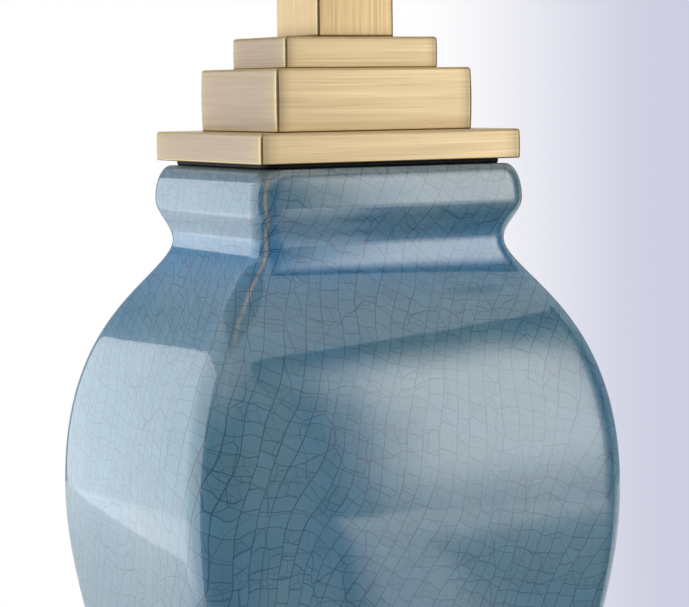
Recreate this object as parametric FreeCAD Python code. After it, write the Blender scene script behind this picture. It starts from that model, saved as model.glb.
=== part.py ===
"""Table lamp: an oblong crackle-glazed jar between stepped brass mounts, with a harp and a shade.

Row frame: millimetres, +Z up, origin at the centre of the lamp's underside. The wide faces look
along -Y (front) and +Y (back, where the cord leaves), the narrow faces along -X and +X.
"""

import FreeCAD
import Part
import math
import os
from FreeCAD import Vector

# ---------------------------------------------------------------- sheet metal and clearances
brass_wall = 1.6
brass_edge_radius = 1.5
brass_foot_radius = 0.7
pipe_clearance = 0.3
thread_clearance = 0.05
turning_clearance = 0.1
running_gap = 0.3

# ---------------------------------------------------------------- base
pad_thickness = 2.0
pad_inset = 1.0
pad_corner_radius = 3.0
plinth_width = 184.0
plinth_depth = 146.0
plinth_height = 27.0
base_step_width = 162.0
base_step_depth = 124.0
base_step_height = 12.7
cover_thickness = 1.2
cover_clearance = 0.3
boss_size = 9.0
boss_height = 10.0
boss_end_wall = 1.0
cover_screw_radius = 1.5
cover_screw_head_radius = 2.8
cover_screw_head_height = 1.5
cover_screw_length = 8.0
clamp_plate_size = 60.0
clamp_plate_thickness = 3.0

# ---------------------------------------------------------------- cord inlet in the back of the plinth
inlet_bore_radius = 3.6
inlet_body_radius = 5.2
inlet_flange_radius = 7.5
inlet_flange_thickness = 1.6
inlet_flange_round = 1.0
inlet_nut_thickness = 3.0

# ---------------------------------------------------------------- lamp pipe and its nuts
pipe_radius = 4.85
pipe_bore_radius = 3.2
pipe_tail = 4.0
nut_across_flats = 14.0
nut_height = 5.0
washer_radius = 9.5
washer_thickness = 1.2

# ---------------------------------------------------------------- glazed body, half sizes about the axis
body_height = 335.0
body_wall = 6.5
body_floor = 8.0
floor_hole_radius = 14.0
rim_half_width = 60.0
rim_half_depth = 50.5
mouth_half_width = 48.0
mouth_half_depth = 37.0
mouth_corner_radius = 5.0
inside_corner_radius = 4.0
collar_half_width = 66.5
collar_half_depth = 54.5
collar_drop = 15.0
waist_half_width = 62.0
waist_half_depth = 46.5
waist_drop = 33.0
belly_half_width = 107.0
belly_half_depth = 80.0
belly_drop = 143.0
foot_half_width = 74.0
foot_half_depth = 55.0
waist_pull_width = 12.0
waist_pull_depth = 24.0
belly_pull_up = 81.0
belly_pull_down = 60.0
foot_pull = 60.0
collar_corner_radius = 9.0
belly_corner_radius = 18.0
foot_corner_radius = 14.0
collar_crown_angle = 1.2
belly_crown_angle = 3.0
body_collar_sections = 5
body_flank_sections = 5

# ---------------------------------------------------------------- gaskets under and over the body
foot_gasket_thickness = 2.0
foot_gasket_inset = 5.0
rim_gasket_thickness = 2.0
rim_gasket_inset = 5.5
gasket_band = 7.0
gasket_corner_radius = 6.0

# ---------------------------------------------------------------- stepped brass cap and neck post
cap_plate_width = 127.0
cap_plate_depth = 101.6
cap_plate_height = 12.7
cap_block_width = 96.0
cap_block_depth = 71.8
cap_block_height = 26.8
cap_step_width = 75.6
cap_step_depth = 49.4
cap_step_height = 13.4
post_size = 38.0
post_height = 60.0
post_lid_size = 42.0
post_lid_height = 4.0

# ---------------------------------------------------------------- harp saddle, harp and sleeves
saddle_half_span = 26.0
saddle_strap = 1.6
saddle_strap_width = 11.0
saddle_arm_height = 16.0
saddle_bend_radius = 4.0
saddle_peg_root = 3.0
harp_wire_radius = 2.0
harp_peg_length = 9.0
sleeve_length = 16.0
sleeve_wall = 1.5
sleeve_travel = 14.0
harp_height = 229.0
harp_half_width = 55.0
harp_widest_height = 118.0
harp_shoulder_height = 196.0
harp_shoulder_half_width = 44.0
harp_top_half_width = 13.0
harp_foot_bend = 60.0
harp_side_bend = 130.0
harp_shoulder_bend = 45.0
harp_top_bend = 22.0
harp_disc_radius = 9.0
harp_disc_thickness = 2.0
stud_radius = 3.1
stud_length = 13.0

# ---------------------------------------------------------------- socket and its rotary switch
socket_hub_radius = 7.2
socket_hub_height = 6.0
socket_cap_radius = 16.4
socket_cap_height = 18.0
socket_cap_wall = 0.9
socket_dish_rise = 4.0
socket_shell_radius = 15.3
socket_shell_wall = 0.7
socket_shell_height = 42.0
socket_lap = 3.5
socket_bead_radius = 0.9
socket_lip_radius = 0.7
liner_wall = 0.8
liner_recess = 1.8
socket_gap = 0.15
switch_body_height = 20.0
screw_shell_radius = 13.2
screw_shell_wall = 0.3
screw_shell_height = 21.0
screw_shell_ledge = 5.0
terminal_radius = 2.8
terminal_head = 1.6
terminal_recess = 2.0
terminal_slot = 0.7
terminal_shelf = 8.0
contact_width = 5.0
contact_thickness = 0.5
contact_rise = 3.0
contact_pit_radius = 7.0
contact_pit_depth = 3.4
contact_reach = 6.0
contact_bend = 1.8
contact_tip = 4.8
shaft_radius = 1.6
shaft_hole_radius = 2.6
shaft_inner_end = 5.0
shaft_below_top = 7.0
knob_collar_radius = 3.6
knob_collar_length = 5.0
knob_width = 17.0
knob_length = 9.0
knob_thickness = 4.4
knob_key_start = 3.5
knob_corner_radius = 3.8
knob_edge_radius = 1.3
knob_gap = 1.0

# ---------------------------------------------------------------- shade
shade_bottom_width = 380.0
shade_bottom_depth = 290.0
shade_top_width = 330.0
shade_top_depth = 240.0
shade_height = 254.0
shade_corner_radius = 9.0
shade_thickness = 1.2
shade_trim_height = 9.0
shade_trim_thickness = 0.5
shade_wire_radius = 1.3
shade_wire_gap = 0.2
shade_recess = 12.0
hub_radius = 12.0
hub_thickness = 1.6
hub_clearance = 0.4
arm_wire_radius = 1.2
arm_lap = 2.5
arm_level_run = 12.0
arm_bend_radius = 15.0

# ---------------------------------------------------------------- finial
finial_seat_radius = 8.0
finial_seat_height = 2.0
finial_plate_size = 17.0
finial_plate_height = 3.4
finial_block_size = 12.6
finial_block_height = 7.0
finial_post_size = 8.6
finial_post_corner = 0.8
finial_tip_size = 3.0
finial_tip_corner = 0.3
finial_tip_height = 6.5

# ---------------------------------------------------------------- heights worked out from the sizes
plinth_z = pad_thickness
base_step_z = plinth_z + plinth_height
foot_gasket_z = base_step_z + base_step_height
body_z = foot_gasket_z + foot_gasket_thickness
rim_z = body_z + body_height
cap_plate_z = rim_z + rim_gasket_thickness
cap_block_z = cap_plate_z + cap_plate_height
cap_step_z = cap_block_z + cap_block_height
post_z = cap_step_z + cap_step_height
lid_z = post_z + post_height
neck_washer_z = lid_z + post_lid_height
neck_nut_z = neck_washer_z + washer_thickness
saddle_z = neck_nut_z + nut_height
socket_z = saddle_z + saddle_strap
arm_top_z = saddle_z + saddle_arm_height
harp_foot_z = arm_top_z + harp_peg_length
harp_top_z = saddle_z + harp_height
disc_z = harp_top_z + harp_wire_radius
hub_z = disc_z + harp_disc_thickness + running_gap
finial_z = hub_z + hub_thickness + running_gap
shade_top_z = hub_z + hub_thickness + shade_recess
shade_bottom_z = shade_top_z - shade_height
clamp_plate_z = base_step_z - brass_wall - clamp_plate_thickness
lock_washer_z = clamp_plate_z - washer_thickness
base_nut_z = lock_washer_z - nut_height
pipe_bottom_z = base_nut_z - pipe_tail
pipe_top_z = socket_z + socket_hub_height
dish_z = socket_z + socket_hub_height
switch_body_z = dish_z + socket_dish_rise + socket_cap_wall + socket_gap
shell_z = socket_z + socket_cap_height - socket_lap
screw_shell_z = switch_body_z + switch_body_height
contact_z = screw_shell_z - contact_pit_depth
liner_radius = socket_shell_radius - socket_shell_wall - socket_gap
switch_body_radius = liner_radius - liner_wall - socket_gap
terminal_flat = switch_body_radius - terminal_recess - socket_gap
knob_z = switch_body_z + switch_body_height - shaft_below_top
clear_hole = pipe_radius + pipe_clearance


# ---------------------------------------------------------------- general shapes
def cylinder(radius, height, z, x=0.0, y=0.0):
    """An upright cylinder standing at height z."""
    return Part.makeCylinder(radius, height, Vector(x, y, z))


def block(width, depth, height, z, x=0.0, y=0.0):
    """An upright box centred on x, y and standing at height z."""
    corner = Vector(x - width / 2, y - depth / 2, z)
    return Part.makeBox(width, depth, height, corner)


def upright_edges(shape):
    """The edges of a box that run along Z."""
    found = []
    for edge in shape.Edges:
        along = edge.Vertexes[-1].Point - edge.Vertexes[0].Point
        if abs(along.x) + abs(along.y) < 1e-6:
            found.append(edge)
    return found


def level_edges(shape, z):
    """The edges that lie wholly at height z."""
    found = []
    for edge in shape.Edges:
        box = edge.BoundBox
        if abs(box.ZMin - z) < 1e-6 and abs(box.ZMax - z) < 1e-6:
            found.append(edge)
    return found


def soft_box(width, depth, height, z):
    """A box with rounded uprights and top edges and slightly eased bottom edges."""
    solid = block(width, depth, height, z)
    solid = solid.makeFillet(brass_edge_radius, upright_edges(solid))
    solid = solid.makeFillet(brass_edge_radius, level_edges(solid, z + height))
    return solid.makeFillet(brass_foot_radius, level_edges(solid, z))


def brass_tier(width, depth, height, z):
    """A tier folded from sheet brass: a box open below, with a hole for the lamp pipe in its top."""
    inside_height = height - brass_wall
    inside = block(width - 2 * brass_wall, depth - 2 * brass_wall, inside_height, z)
    hole = cylinder(clear_hole, height, z)
    return soft_box(width, depth, height, z).cut(inside).cut(hole)


def arc(start, middle, end):
    """An arc edge through three points."""
    return Part.Arc(start, middle, end).toShape()


def oblong_wire(half_width, half_depth, corner, crown_degrees, z):
    """A closed outline of four crowned sides and four round corners, all tangent to each other.

    The sides bow outwards by the crown angle at their ends, so each corner turns through a right
    angle less twice that angle.
    """
    crown = math.radians(crown_degrees)
    bow = math.tan(crown / 2)
    reach_x = half_width - corner * math.cos(crown) - corner * math.sin(crown) * bow
    reach_y = half_depth - corner * math.cos(crown) - corner * math.sin(crown) * bow
    centre_x = (reach_x - reach_y * bow) / (1 - bow * bow)
    centre_y = (reach_y - reach_x * bow) / (1 - bow * bow)
    turns = (crown, math.pi / 4, math.pi / 2 - crown)
    quarter = []
    for turn in turns:
        quarter.append((centre_x + corner * math.cos(turn), centre_y + corner * math.sin(turn)))
    side, bend, front = quarter
    edges = [
        arc(Vector(side[0], -side[1], z), Vector(half_width, 0, z), Vector(side[0], side[1], z)),
        arc(Vector(side[0], side[1], z), Vector(bend[0], bend[1], z), Vector(front[0], front[1], z)),
        arc(Vector(front[0], front[1], z), Vector(0, half_depth, z), Vector(-front[0], front[1], z)),
        arc(Vector(-front[0], front[1], z), Vector(-bend[0], bend[1], z), Vector(-side[0], side[1], z)),
        arc(Vector(-side[0], side[1], z), Vector(-half_width, 0, z), Vector(-side[0], -side[1], z)),
        arc(Vector(-side[0], -side[1], z), Vector(-bend[0], -bend[1], z), Vector(-front[0], -front[1], z)),
        arc(Vector(-front[0], -front[1], z), Vector(0, -half_depth, z), Vector(front[0], -front[1], z)),
        arc(Vector(front[0], -front[1], z), Vector(bend[0], -bend[1], z), Vector(side[0], -side[1], z)),
    ]
    return Part.Wire(edges)


def rounded_wire(width, depth, corner, z):
    """A rectangle with round corners, as a closed wire at height z."""
    x = width / 2
    y = depth / 2
    cut = corner * (1 - math.sqrt(0.5))
    edges = []
    signs = ((1, 1), (-1, 1), (-1, -1), (1, -1))
    for index, (sx, sy) in enumerate(signs):
        on_side = Vector(sx * x, sy * (y - corner), z)
        on_front = Vector(sx * (x - corner), sy * y, z)
        bend = Vector(sx * (x - cut), sy * (y - cut), z)
        first, last = (on_side, on_front) if sx * sy > 0 else (on_front, on_side)
        edges.append(arc(first, bend, last))
        next_sx, next_sy = signs[(index + 1) % 4]
        if sx * sy > 0:
            follow = Vector(next_sx * (x - corner), next_sy * y, z)
        else:
            follow = Vector(next_sx * x, next_sy * (y - corner), z)
        edges.append(Part.LineSegment(last, follow).toShape())
    return Part.Wire(edges)


def rounded_plate(width, depth, corner, thickness, z):
    """A flat plate with round corners."""
    return Part.Face(rounded_wire(width, depth, corner, z)).extrude(Vector(0, 0, thickness))


def bent_path(points, radii, closed=False):
    """Straight runs joined by tangent arcs, as a wire; radii has one value for each bend."""
    count = len(points)
    bends = range(count) if closed else range(1, count - 1)
    edges = []
    start = None if closed else points[0]
    first = None
    for order, index in enumerate(bends):
        corner = points[index]
        back = (points[index - 1] - corner).normalize()
        ahead = (points[(index + 1) % count] - corner).normalize()
        turn = math.pi - back.getAngle(ahead)
        tangent = radii[order] * math.tan(turn / 2)
        enter = corner + back * tangent
        leave = corner + ahead * tangent
        middle_way = (back + ahead).normalize()
        reach = radii[order] / math.cos(turn / 2) - radii[order]
        if start is None:
            first = enter
        else:
            edges.append(Part.LineSegment(start, enter).toShape())
        edges.append(arc(enter, corner + middle_way * reach, leave))
        start = leave
    edges.append(Part.LineSegment(start, first if closed else points[-1]).toShape())
    return Part.Wire(edges)


def wire_rod(path, radius):
    """A round rod swept along a path of lines and arcs."""
    edge = path.Edges[0]
    start = edge.valueAt(edge.FirstParameter)
    heading = edge.tangentAt(edge.FirstParameter)
    section = Part.Wire(Part.makeCircle(radius, start, heading))
    return path.makePipeShell([section], True, True)


def turned(profile):
    """A solid turned about the lamp's axis from a closed outline of (radius, height) points."""
    points = [Vector(radius, 0, height) for radius, height in profile]
    face = Part.Face(Part.makePolygon(points + [points[0]]))
    return face.revolve(Vector(0, 0, 0), Vector(0, 0, 1), 360)


def hexagon(across_flats, height, z, bore):
    """A hexagonal nut with a plain bore."""
    corner = across_flats / math.sqrt(3)
    points = []
    for side in range(7):
        turn = math.radians(60 * side)
        points.append(Vector(corner * math.cos(turn), corner * math.sin(turn), z))
    nut = Part.Face(Part.makePolygon(points)).extrude(Vector(0, 0, height))
    return nut.cut(cylinder(bore, height, z))


def ring(outer, inner, height, z):
    """A plain tube or washer about the lamp's axis."""
    return cylinder(outer, height, z).cut(cylinder(inner, height, z))


# ---------------------------------------------------------------- base
def base_corners():
    """The four cover screw places, in the inside corners of the plinth."""
    x = plinth_width / 2 - brass_wall - boss_size / 2
    y = plinth_depth / 2 - brass_wall - boss_size / 2
    return [(x, y), (-x, y), (-x, -y), (x, -y)]


def make_base_pad():
    """Felt under the plinth, with holes over the cover screws."""
    width = plinth_width - 2 * pad_inset
    depth = plinth_depth - 2 * pad_inset
    pad = rounded_plate(width, depth, pad_corner_radius, pad_thickness, 0)
    for x, y in base_corners():
        pad = pad.cut(cylinder(cover_screw_head_radius + running_gap, pad_thickness, 0, x, y))
    return pad


def make_bottom_cover():
    """Sheet steel that closes the plinth."""
    margin = 2 * (brass_wall + cover_clearance)
    cover = block(plinth_width - margin, plinth_depth - margin, cover_thickness, plinth_z)
    hole_radius = cover_screw_radius + turning_clearance
    for x, y in base_corners():
        cover = cover.cut(cylinder(hole_radius, cover_thickness, plinth_z, x, y))
    return cover


def make_cover_screws():
    """Four pan-head screws, up through the cover into the bosses in the plinth's corners."""
    screws = []
    head_z = plinth_z - cover_screw_head_height
    for x, y in base_corners():
        head = cylinder(cover_screw_head_radius, cover_screw_head_height, head_z, x, y)
        shank = cylinder(cover_screw_radius, cover_screw_length, plinth_z, x, y)
        screws.append(head.fuse(shank).removeSplitter())
    return Part.makeCompound(screws)


def inlet_z():
    """The height of the cord inlet's axis: the middle of the plinth's wall."""
    return plinth_z + plinth_height / 2


def back_cylinder(radius, y_from, y_to, z):
    """A cylinder along Y from one place to another."""
    return Part.makeCylinder(radius, y_to - y_from, Vector(0, y_from, z), Vector(0, 1, 0))


def make_plinth():
    """The wide lower tier of the base, with a hole for the cord inlet in its back."""
    plinth = brass_tier(plinth_width, plinth_depth, plinth_height, plinth_z)
    back = plinth_depth / 2
    hole = back_cylinder(inlet_body_radius + thread_clearance, back - 2 * brass_wall, back, inlet_z())
    return plinth.cut(hole)


def make_cover_bosses():
    """Four tapped steel blocks soldered into the plinth's corners, for the cover's screws."""
    bosses = []
    boss_z = plinth_z + cover_thickness
    for x, y in base_corners():
        boss = block(boss_size, boss_size, boss_height, boss_z, x, y)
        tapped = cylinder(cover_screw_radius + thread_clearance, boss_height - boss_end_wall, boss_z, x, y)
        bosses.append(boss.cut(tapped))
    return Part.makeCompound(bosses)


def make_cord_inlet():
    """Black bushing in the back of the plinth: a flange outside, a threaded body and a nut inside."""
    back = plinth_depth / 2
    inside = back - brass_wall - inlet_nut_thickness
    flange = back_cylinder(inlet_flange_radius, back, back + inlet_flange_thickness, inlet_z())
    outer_y = back + inlet_flange_thickness
    rim = [edge for edge in flange.Edges if abs(edge.valueAt(0).y - outer_y) < 1e-6 and edge.Closed]
    flange = flange.makeFillet(inlet_flange_round, rim)
    body = back_cylinder(inlet_body_radius, inside, back, inlet_z())
    nut = back_cylinder(inlet_flange_radius, inside, back - brass_wall, inlet_z())
    bore = back_cylinder(inlet_bore_radius, inside, outer_y, inlet_z())
    return flange.fuse(body).fuse(nut).cut(bore).removeSplitter()


def make_clamp_plate():
    """Steel plate that spreads the pull of the lamp pipe over the plinth's top."""
    plate = block(clamp_plate_size, clamp_plate_size, clamp_plate_thickness, clamp_plate_z)
    return plate.cut(cylinder(clear_hole, clamp_plate_thickness, clamp_plate_z))


# ---------------------------------------------------------------- glazed body
def curve_share(share):
    """How far a side has moved from one level to the next: slow at both ends, quick between."""
    return 3 * share ** 2 - 2 * share ** 3


def curve_drop(share, pull_start, pull_end, length):
    """The height that goes with curve_share, with a straight pull at each end of the curve."""
    stay = 1 - share
    early = 3 * stay ** 2 * share * pull_start
    late = 3 * stay * share ** 2 * (length - pull_end)
    return early + late + share ** 3 * length


def flank(share, top_half, bottom_half, pull_start, pull_end, top_drop, bottom_drop):
    """One point of a flank's outline, as (drop below the rim, half size)."""
    drop = top_drop + curve_drop(share, pull_start, pull_end, bottom_drop - top_drop)
    return drop, top_half + (bottom_half - top_half) * curve_share(share)


def half_at(drop, top_half, bottom_half, pull_start, pull_end, top_drop, bottom_drop):
    """The flank's half size at a drop below the rim, found by halving the interval."""
    low = 0.0
    high = 1.0
    for _ in range(40):
        middle = (low + high) / 2
        if flank(middle, top_half, bottom_half, pull_start, pull_end, top_drop, bottom_drop)[0] < drop:
            low = middle
        else:
            high = middle
    return flank(low, top_half, bottom_half, pull_start, pull_end, top_drop, bottom_drop)[1]


def body_section(drop):
    """The glazed body's outside at a drop below the rim: half width, half depth, corner, crown."""
    if drop <= collar_drop:
        turn = math.acos(1 - drop / collar_drop)
        half_width = rim_half_width + (collar_half_width - rim_half_width) * math.sin(turn)
        half_depth = rim_half_depth + (collar_half_depth - rim_half_depth) * math.sin(turn)
        return half_width, half_depth, collar_corner_radius, collar_crown_angle
    if drop <= waist_drop:
        share = (drop - collar_drop) / (waist_drop - collar_drop)
        swell = (1 + math.cos(math.pi * share)) / 2
        half_width = waist_half_width + (collar_half_width - waist_half_width) * swell
        half_depth = waist_half_depth + (collar_half_depth - waist_half_depth) * swell
        return half_width, half_depth, collar_corner_radius, collar_crown_angle
    if drop <= belly_drop:
        half_width = half_at(
            drop, waist_half_width, belly_half_width, waist_pull_width, belly_pull_up, waist_drop, belly_drop
        )
        half_depth = half_at(
            drop, waist_half_depth, belly_half_depth, waist_pull_depth, belly_pull_up, waist_drop, belly_drop
        )
        grown = (half_width - waist_half_width) / (belly_half_width - waist_half_width)
        corner = collar_corner_radius + (belly_corner_radius - collar_corner_radius) * grown
        crown = collar_crown_angle + (belly_crown_angle - collar_crown_angle) * grown
        return half_width, half_depth, corner, crown
    half_width = half_at(
        drop, belly_half_width, foot_half_width, belly_pull_down, foot_pull, belly_drop, body_height
    )
    half_depth = half_at(
        drop, belly_half_depth, foot_half_depth, belly_pull_down, foot_pull, belly_drop, body_height
    )
    shrunk = (drop - belly_drop) / (body_height - belly_drop)
    corner = belly_corner_radius + (foot_corner_radius - belly_corner_radius) * shrunk
    crown = belly_crown_angle + (collar_crown_angle - belly_crown_angle) * shrunk
    return half_width, half_depth, corner, crown


def section_drops():
    """The levels at which the body is measured: close together round the collar, wider below."""
    drops = []
    for step in range(body_collar_sections):
        turn = math.radians(90) * step / body_collar_sections
        drops.append(collar_drop * (1 - math.cos(turn)))
    for share in (0.0, 0.3, 0.65):
        drops.append(collar_drop + (waist_drop - collar_drop) * share)
    for step in range(body_flank_sections):
        share = step / body_flank_sections
        drops.append(flank(share, 0, 1, waist_pull_depth, belly_pull_up, waist_drop, belly_drop)[0])
    for step in range(body_flank_sections):
        share = step / body_flank_sections
        drops.append(flank(share, 0, 1, belly_pull_down, foot_pull, belly_drop, body_height)[0])
    drops.append(body_height)
    return drops


def outside_wire(drop):
    """The jar's outside at a drop below the rim."""
    half_width, half_depth, corner, crown = body_section(drop)
    return oblong_wire(half_width, half_depth, corner, crown, rim_z - drop)


def inside_wire(drop):
    """The jar's inside at a drop below the rim, one wall in from the outside."""
    half_width, half_depth, corner, crown = body_section(drop)
    corner = max(corner - body_wall, inside_corner_radius)
    return oblong_wire(half_width - body_wall, half_depth - body_wall, corner, crown, rim_z - drop)


def make_ceramic_body():
    """The slip-cast jar: rolled collar, waist, broad shoulder and belly, tapering to the foot."""
    drops = section_drops()
    floor_drop = body_height - body_floor
    shell = Part.makeLoft([outside_wire(drop) for drop in drops], True, False)
    inner_drops = [drop for drop in drops if waist_drop <= drop < floor_drop - body_wall] + [floor_drop]
    hollow = Part.makeLoft([inside_wire(drop) for drop in inner_drops], True, False)
    mouth = oblong_wire(mouth_half_width, mouth_half_depth, mouth_corner_radius, collar_crown_angle, rim_z)
    throat = Part.makeLoft([mouth, inside_wire(waist_drop)], True, True)
    hole = cylinder(floor_hole_radius, body_floor, body_z)
    return shell.cut(hollow).cut(throat).cut(hole)


def gasket(half_width, half_depth, thickness, z):
    """A flat rubber frame with round corners."""
    outer = rounded_plate(2 * half_width, 2 * half_depth, gasket_corner_radius, thickness, z)
    inner_width = 2 * (half_width - gasket_band)
    inner_depth = 2 * (half_depth - gasket_band)
    inner = rounded_plate(inner_width, inner_depth, gasket_corner_radius / 2, thickness, z)
    return outer.cut(inner)


def make_foot_gasket():
    """Rubber between the base's upper tier and the jar's foot."""
    half_width = foot_half_width - foot_gasket_inset
    half_depth = foot_half_depth - foot_gasket_inset
    return gasket(half_width, half_depth, foot_gasket_thickness, foot_gasket_z)


def make_rim_gasket():
    """Black rubber between the jar's rim and the cap plate, set back from the plate's edge."""
    half_width = cap_plate_width / 2 - rim_gasket_inset
    half_depth = cap_plate_depth / 2 - rim_gasket_inset
    return gasket(half_width, half_depth, rim_gasket_thickness, rim_z)


# ---------------------------------------------------------------- cap and neck
def make_cap_floor():
    """Sheet steel brazed inside the cap plate, which carries it on the gasket."""
    floor = block(cap_plate_width - 2 * brass_wall, cap_plate_depth - 2 * brass_wall, brass_wall, cap_plate_z)
    return floor.cut(cylinder(clear_hole, brass_wall, cap_plate_z))


def make_neck_post():
    """Square brass tube on top of the tiers."""
    tube = block(post_size, post_size, post_height, post_z)
    tube = tube.makeFillet(brass_edge_radius, upright_edges(tube))
    inside = post_size - 2 * brass_wall
    return tube.cut(block(inside, inside, post_height, post_z))


def make_post_lid():
    """Small plate that closes the post and takes the neck nut's load."""
    lid = soft_box(post_lid_size, post_lid_size, post_lid_height, lid_z)
    return lid.cut(cylinder(clear_hole, post_lid_height, lid_z))


def make_lamp_pipe():
    """The threaded tube that ties the lamp together and carries the wires."""
    return ring(pipe_radius, pipe_bore_radius, pipe_top_z - pipe_bottom_z, pipe_bottom_z)


# ---------------------------------------------------------------- harp
def make_harp_saddle():
    """Strap with two upturned arms, each ending in a peg for the harp."""
    outer_half = saddle_half_span + saddle_strap / 2
    inner_half = saddle_half_span - saddle_strap / 2
    outer = block(2 * outer_half, saddle_strap_width, saddle_arm_height, saddle_z)
    low_edges = [e for e in level_edges(outer, saddle_z) if abs(e.BoundBox.XLength) < 1e-6]
    outer = outer.makeFillet(saddle_bend_radius, low_edges)
    inner = block(2 * inner_half, saddle_strap_width, saddle_arm_height, saddle_z + saddle_strap)
    low_edges = [e for e in level_edges(inner, saddle_z + saddle_strap) if abs(e.BoundBox.XLength) < 1e-6]
    inner = inner.makeFillet(saddle_bend_radius - saddle_strap, low_edges)
    strap = outer.cut(inner).cut(cylinder(clear_hole, saddle_strap, saddle_z))
    peg_z = arm_top_z - saddle_peg_root
    for side in (-1, 1):
        peg = cylinder(harp_wire_radius, harp_peg_length + saddle_peg_root, peg_z, side * saddle_half_span)
        strap = strap.fuse(peg)
    return strap.removeSplitter()


def harp_points():
    """Corner points of the harp's wire, from the right foot over the top to the left foot."""
    right = [
        (saddle_half_span, harp_foot_z),
        (saddle_half_span, harp_foot_z + sleeve_length + sleeve_travel + 10),
        (harp_half_width, saddle_z + harp_widest_height),
        (harp_shoulder_half_width, saddle_z + harp_shoulder_height),
        (harp_top_half_width, harp_top_z),
    ]
    left = [(-x, z) for x, z in reversed(right)]
    return [Vector(x, 0, z) for x, z in right + left]


def make_harp():
    """Wire bow that carries the shade clear of the bulb."""
    radii = [harp_foot_bend, harp_side_bend, harp_shoulder_bend, harp_top_bend]
    path = bent_path(harp_points(), radii + radii[::-1])
    return wire_rod(path, harp_wire_radius)


def make_harp_stud():
    """Round seat and threaded stud riveted on the harp's top, with a saddle under it for the wire."""
    disc = cylinder(harp_disc_radius, harp_disc_thickness, disc_z)
    stud = cylinder(stud_radius, harp_disc_thickness + stud_length, disc_z)
    return disc.fuse(stud).removeSplitter()


def make_sleeve(side):
    """Brass sleeve over the joint between a saddle peg and the harp; it slides up to free the harp."""
    x = side * saddle_half_span
    inner = harp_wire_radius + turning_clearance
    z = arm_top_z + running_gap
    return cylinder(inner + sleeve_wall, sleeve_length, z, x).cut(cylinder(inner, sleeve_length, z, x))


# ---------------------------------------------------------------- socket
def make_socket_cap():
    """Dished brass cup with a threaded hub that screws on the lamp pipe."""
    top_z = socket_z + socket_cap_height
    rise_z = dish_z + socket_dish_rise
    inner = socket_cap_radius - socket_cap_wall
    bore = pipe_radius + thread_clearance
    return turned([
        (bore, socket_z),
        (socket_hub_radius, socket_z),
        (socket_hub_radius, dish_z),
        (inner, rise_z),
        (socket_cap_radius, rise_z + socket_cap_wall),
        (socket_cap_radius, top_z),
        (inner, top_z),
        (inner, rise_z + socket_cap_wall),
        (socket_hub_radius, dish_z + socket_cap_wall),
        (bore, dish_z + socket_cap_wall),
    ])


def rolled_bead(radius, z):
    """A bead rolled outwards in the socket's shell at height z, with two bevelled flanks."""
    root = socket_shell_radius - socket_shell_wall / 2
    crest = socket_shell_radius + radius
    flat = radius * (math.sqrt(2) - 1)
    return turned([(root, z - radius), (crest, z - flat), (crest, z + flat), (root, z + radius)])


def shaft_hole(radius):
    """A cylinder for the switch shaft's way out through the socket's front."""
    return Part.makeCylinder(radius, socket_cap_radius, Vector(0, 0, knob_z), Vector(0, -1, 0))


def make_socket_shell():
    """Brass shell with a bead over the cap's lip, a rolled top edge and a hole for the switch shaft."""
    shell = ring(socket_shell_radius, socket_shell_radius - socket_shell_wall, socket_shell_height, shell_z)
    lap_bead = rolled_bead(socket_bead_radius, socket_z + socket_cap_height + socket_bead_radius)
    lip_bead = rolled_bead(socket_lip_radius, shell_z + socket_shell_height - socket_lip_radius)
    return shell.fuse(lap_bead).fuse(lip_bead).cut(shaft_hole(shaft_hole_radius)).removeSplitter()


def make_socket_liner():
    """Insulating sleeve between the shell and the live parts."""
    top_z = shell_z + socket_shell_height - liner_recess
    liner = ring(liner_radius, liner_radius - liner_wall, top_z - switch_body_z, switch_body_z)
    return liner.cut(shaft_hole(shaft_hole_radius))


def make_switch_body():
    """Moulded switch block: flats for the terminals and a bearing hole for the shaft."""
    body = cylinder(switch_body_radius, switch_body_height, switch_body_z)
    flat_height = switch_body_height - terminal_shelf
    for side in (-1, 1):
        x = side * (terminal_flat + switch_body_radius / 2)
        body = body.cut(block(switch_body_radius, 3 * terminal_radius, flat_height, switch_body_z, x))
    end = Vector(0, running_gap - shaft_inner_end, knob_z)
    hole = Part.makeCylinder(shaft_radius + turning_clearance, switch_body_radius, end, Vector(0, -1, 0))
    pit = cylinder(contact_pit_radius, contact_pit_depth, contact_z)
    return body.cut(hole).cut(pit)


def make_terminal_screws():
    """Two binding screws, one on each flat of the switch body."""
    z = switch_body_z + (switch_body_height - terminal_shelf) / 2
    outer = terminal_flat + terminal_head
    screws = []
    for side in (-1, 1):
        start = Vector(side * terminal_flat, 0, z)
        head = Part.makeCylinder(terminal_radius, terminal_head, start, Vector(side, 0, 0))
        slot = block(terminal_head, 2 * terminal_radius, terminal_slot, z - terminal_slot / 2, side * outer)
        screws.append(head.cut(slot))
    return Part.makeCompound(screws)


def make_screw_shell():
    """The bulb's threaded sleeve, drawn here as its plain bore, with an inward ledge at the bottom."""
    outer = screw_shell_radius + screw_shell_wall
    tube = ring(outer, screw_shell_radius, screw_shell_height, screw_shell_z)
    ledge = ring(outer, screw_shell_radius - screw_shell_ledge, contact_thickness, screw_shell_z)
    return tube.fuse(ledge).removeSplitter()


def make_centre_contact():
    """Bent brass tongue, in a pit of the switch body, that touches the bulb's tip."""
    t = contact_thickness
    outline = [
        (-contact_reach, 0),
        (contact_bend, 0),
        (contact_tip, contact_rise),
        (contact_tip - t, contact_rise + t),
        (contact_bend - t, t),
        (-contact_reach, t),
    ]
    points = [Vector(x, -contact_width / 2, contact_z + z) for x, z in outline]
    return Part.Face(Part.makePolygon(points + [points[0]])).extrude(Vector(0, contact_width, 0))


def knob_face_y():
    """Where the knob's collar begins, just clear of the socket's shell."""
    return -(socket_shell_radius + knob_gap)


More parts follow.
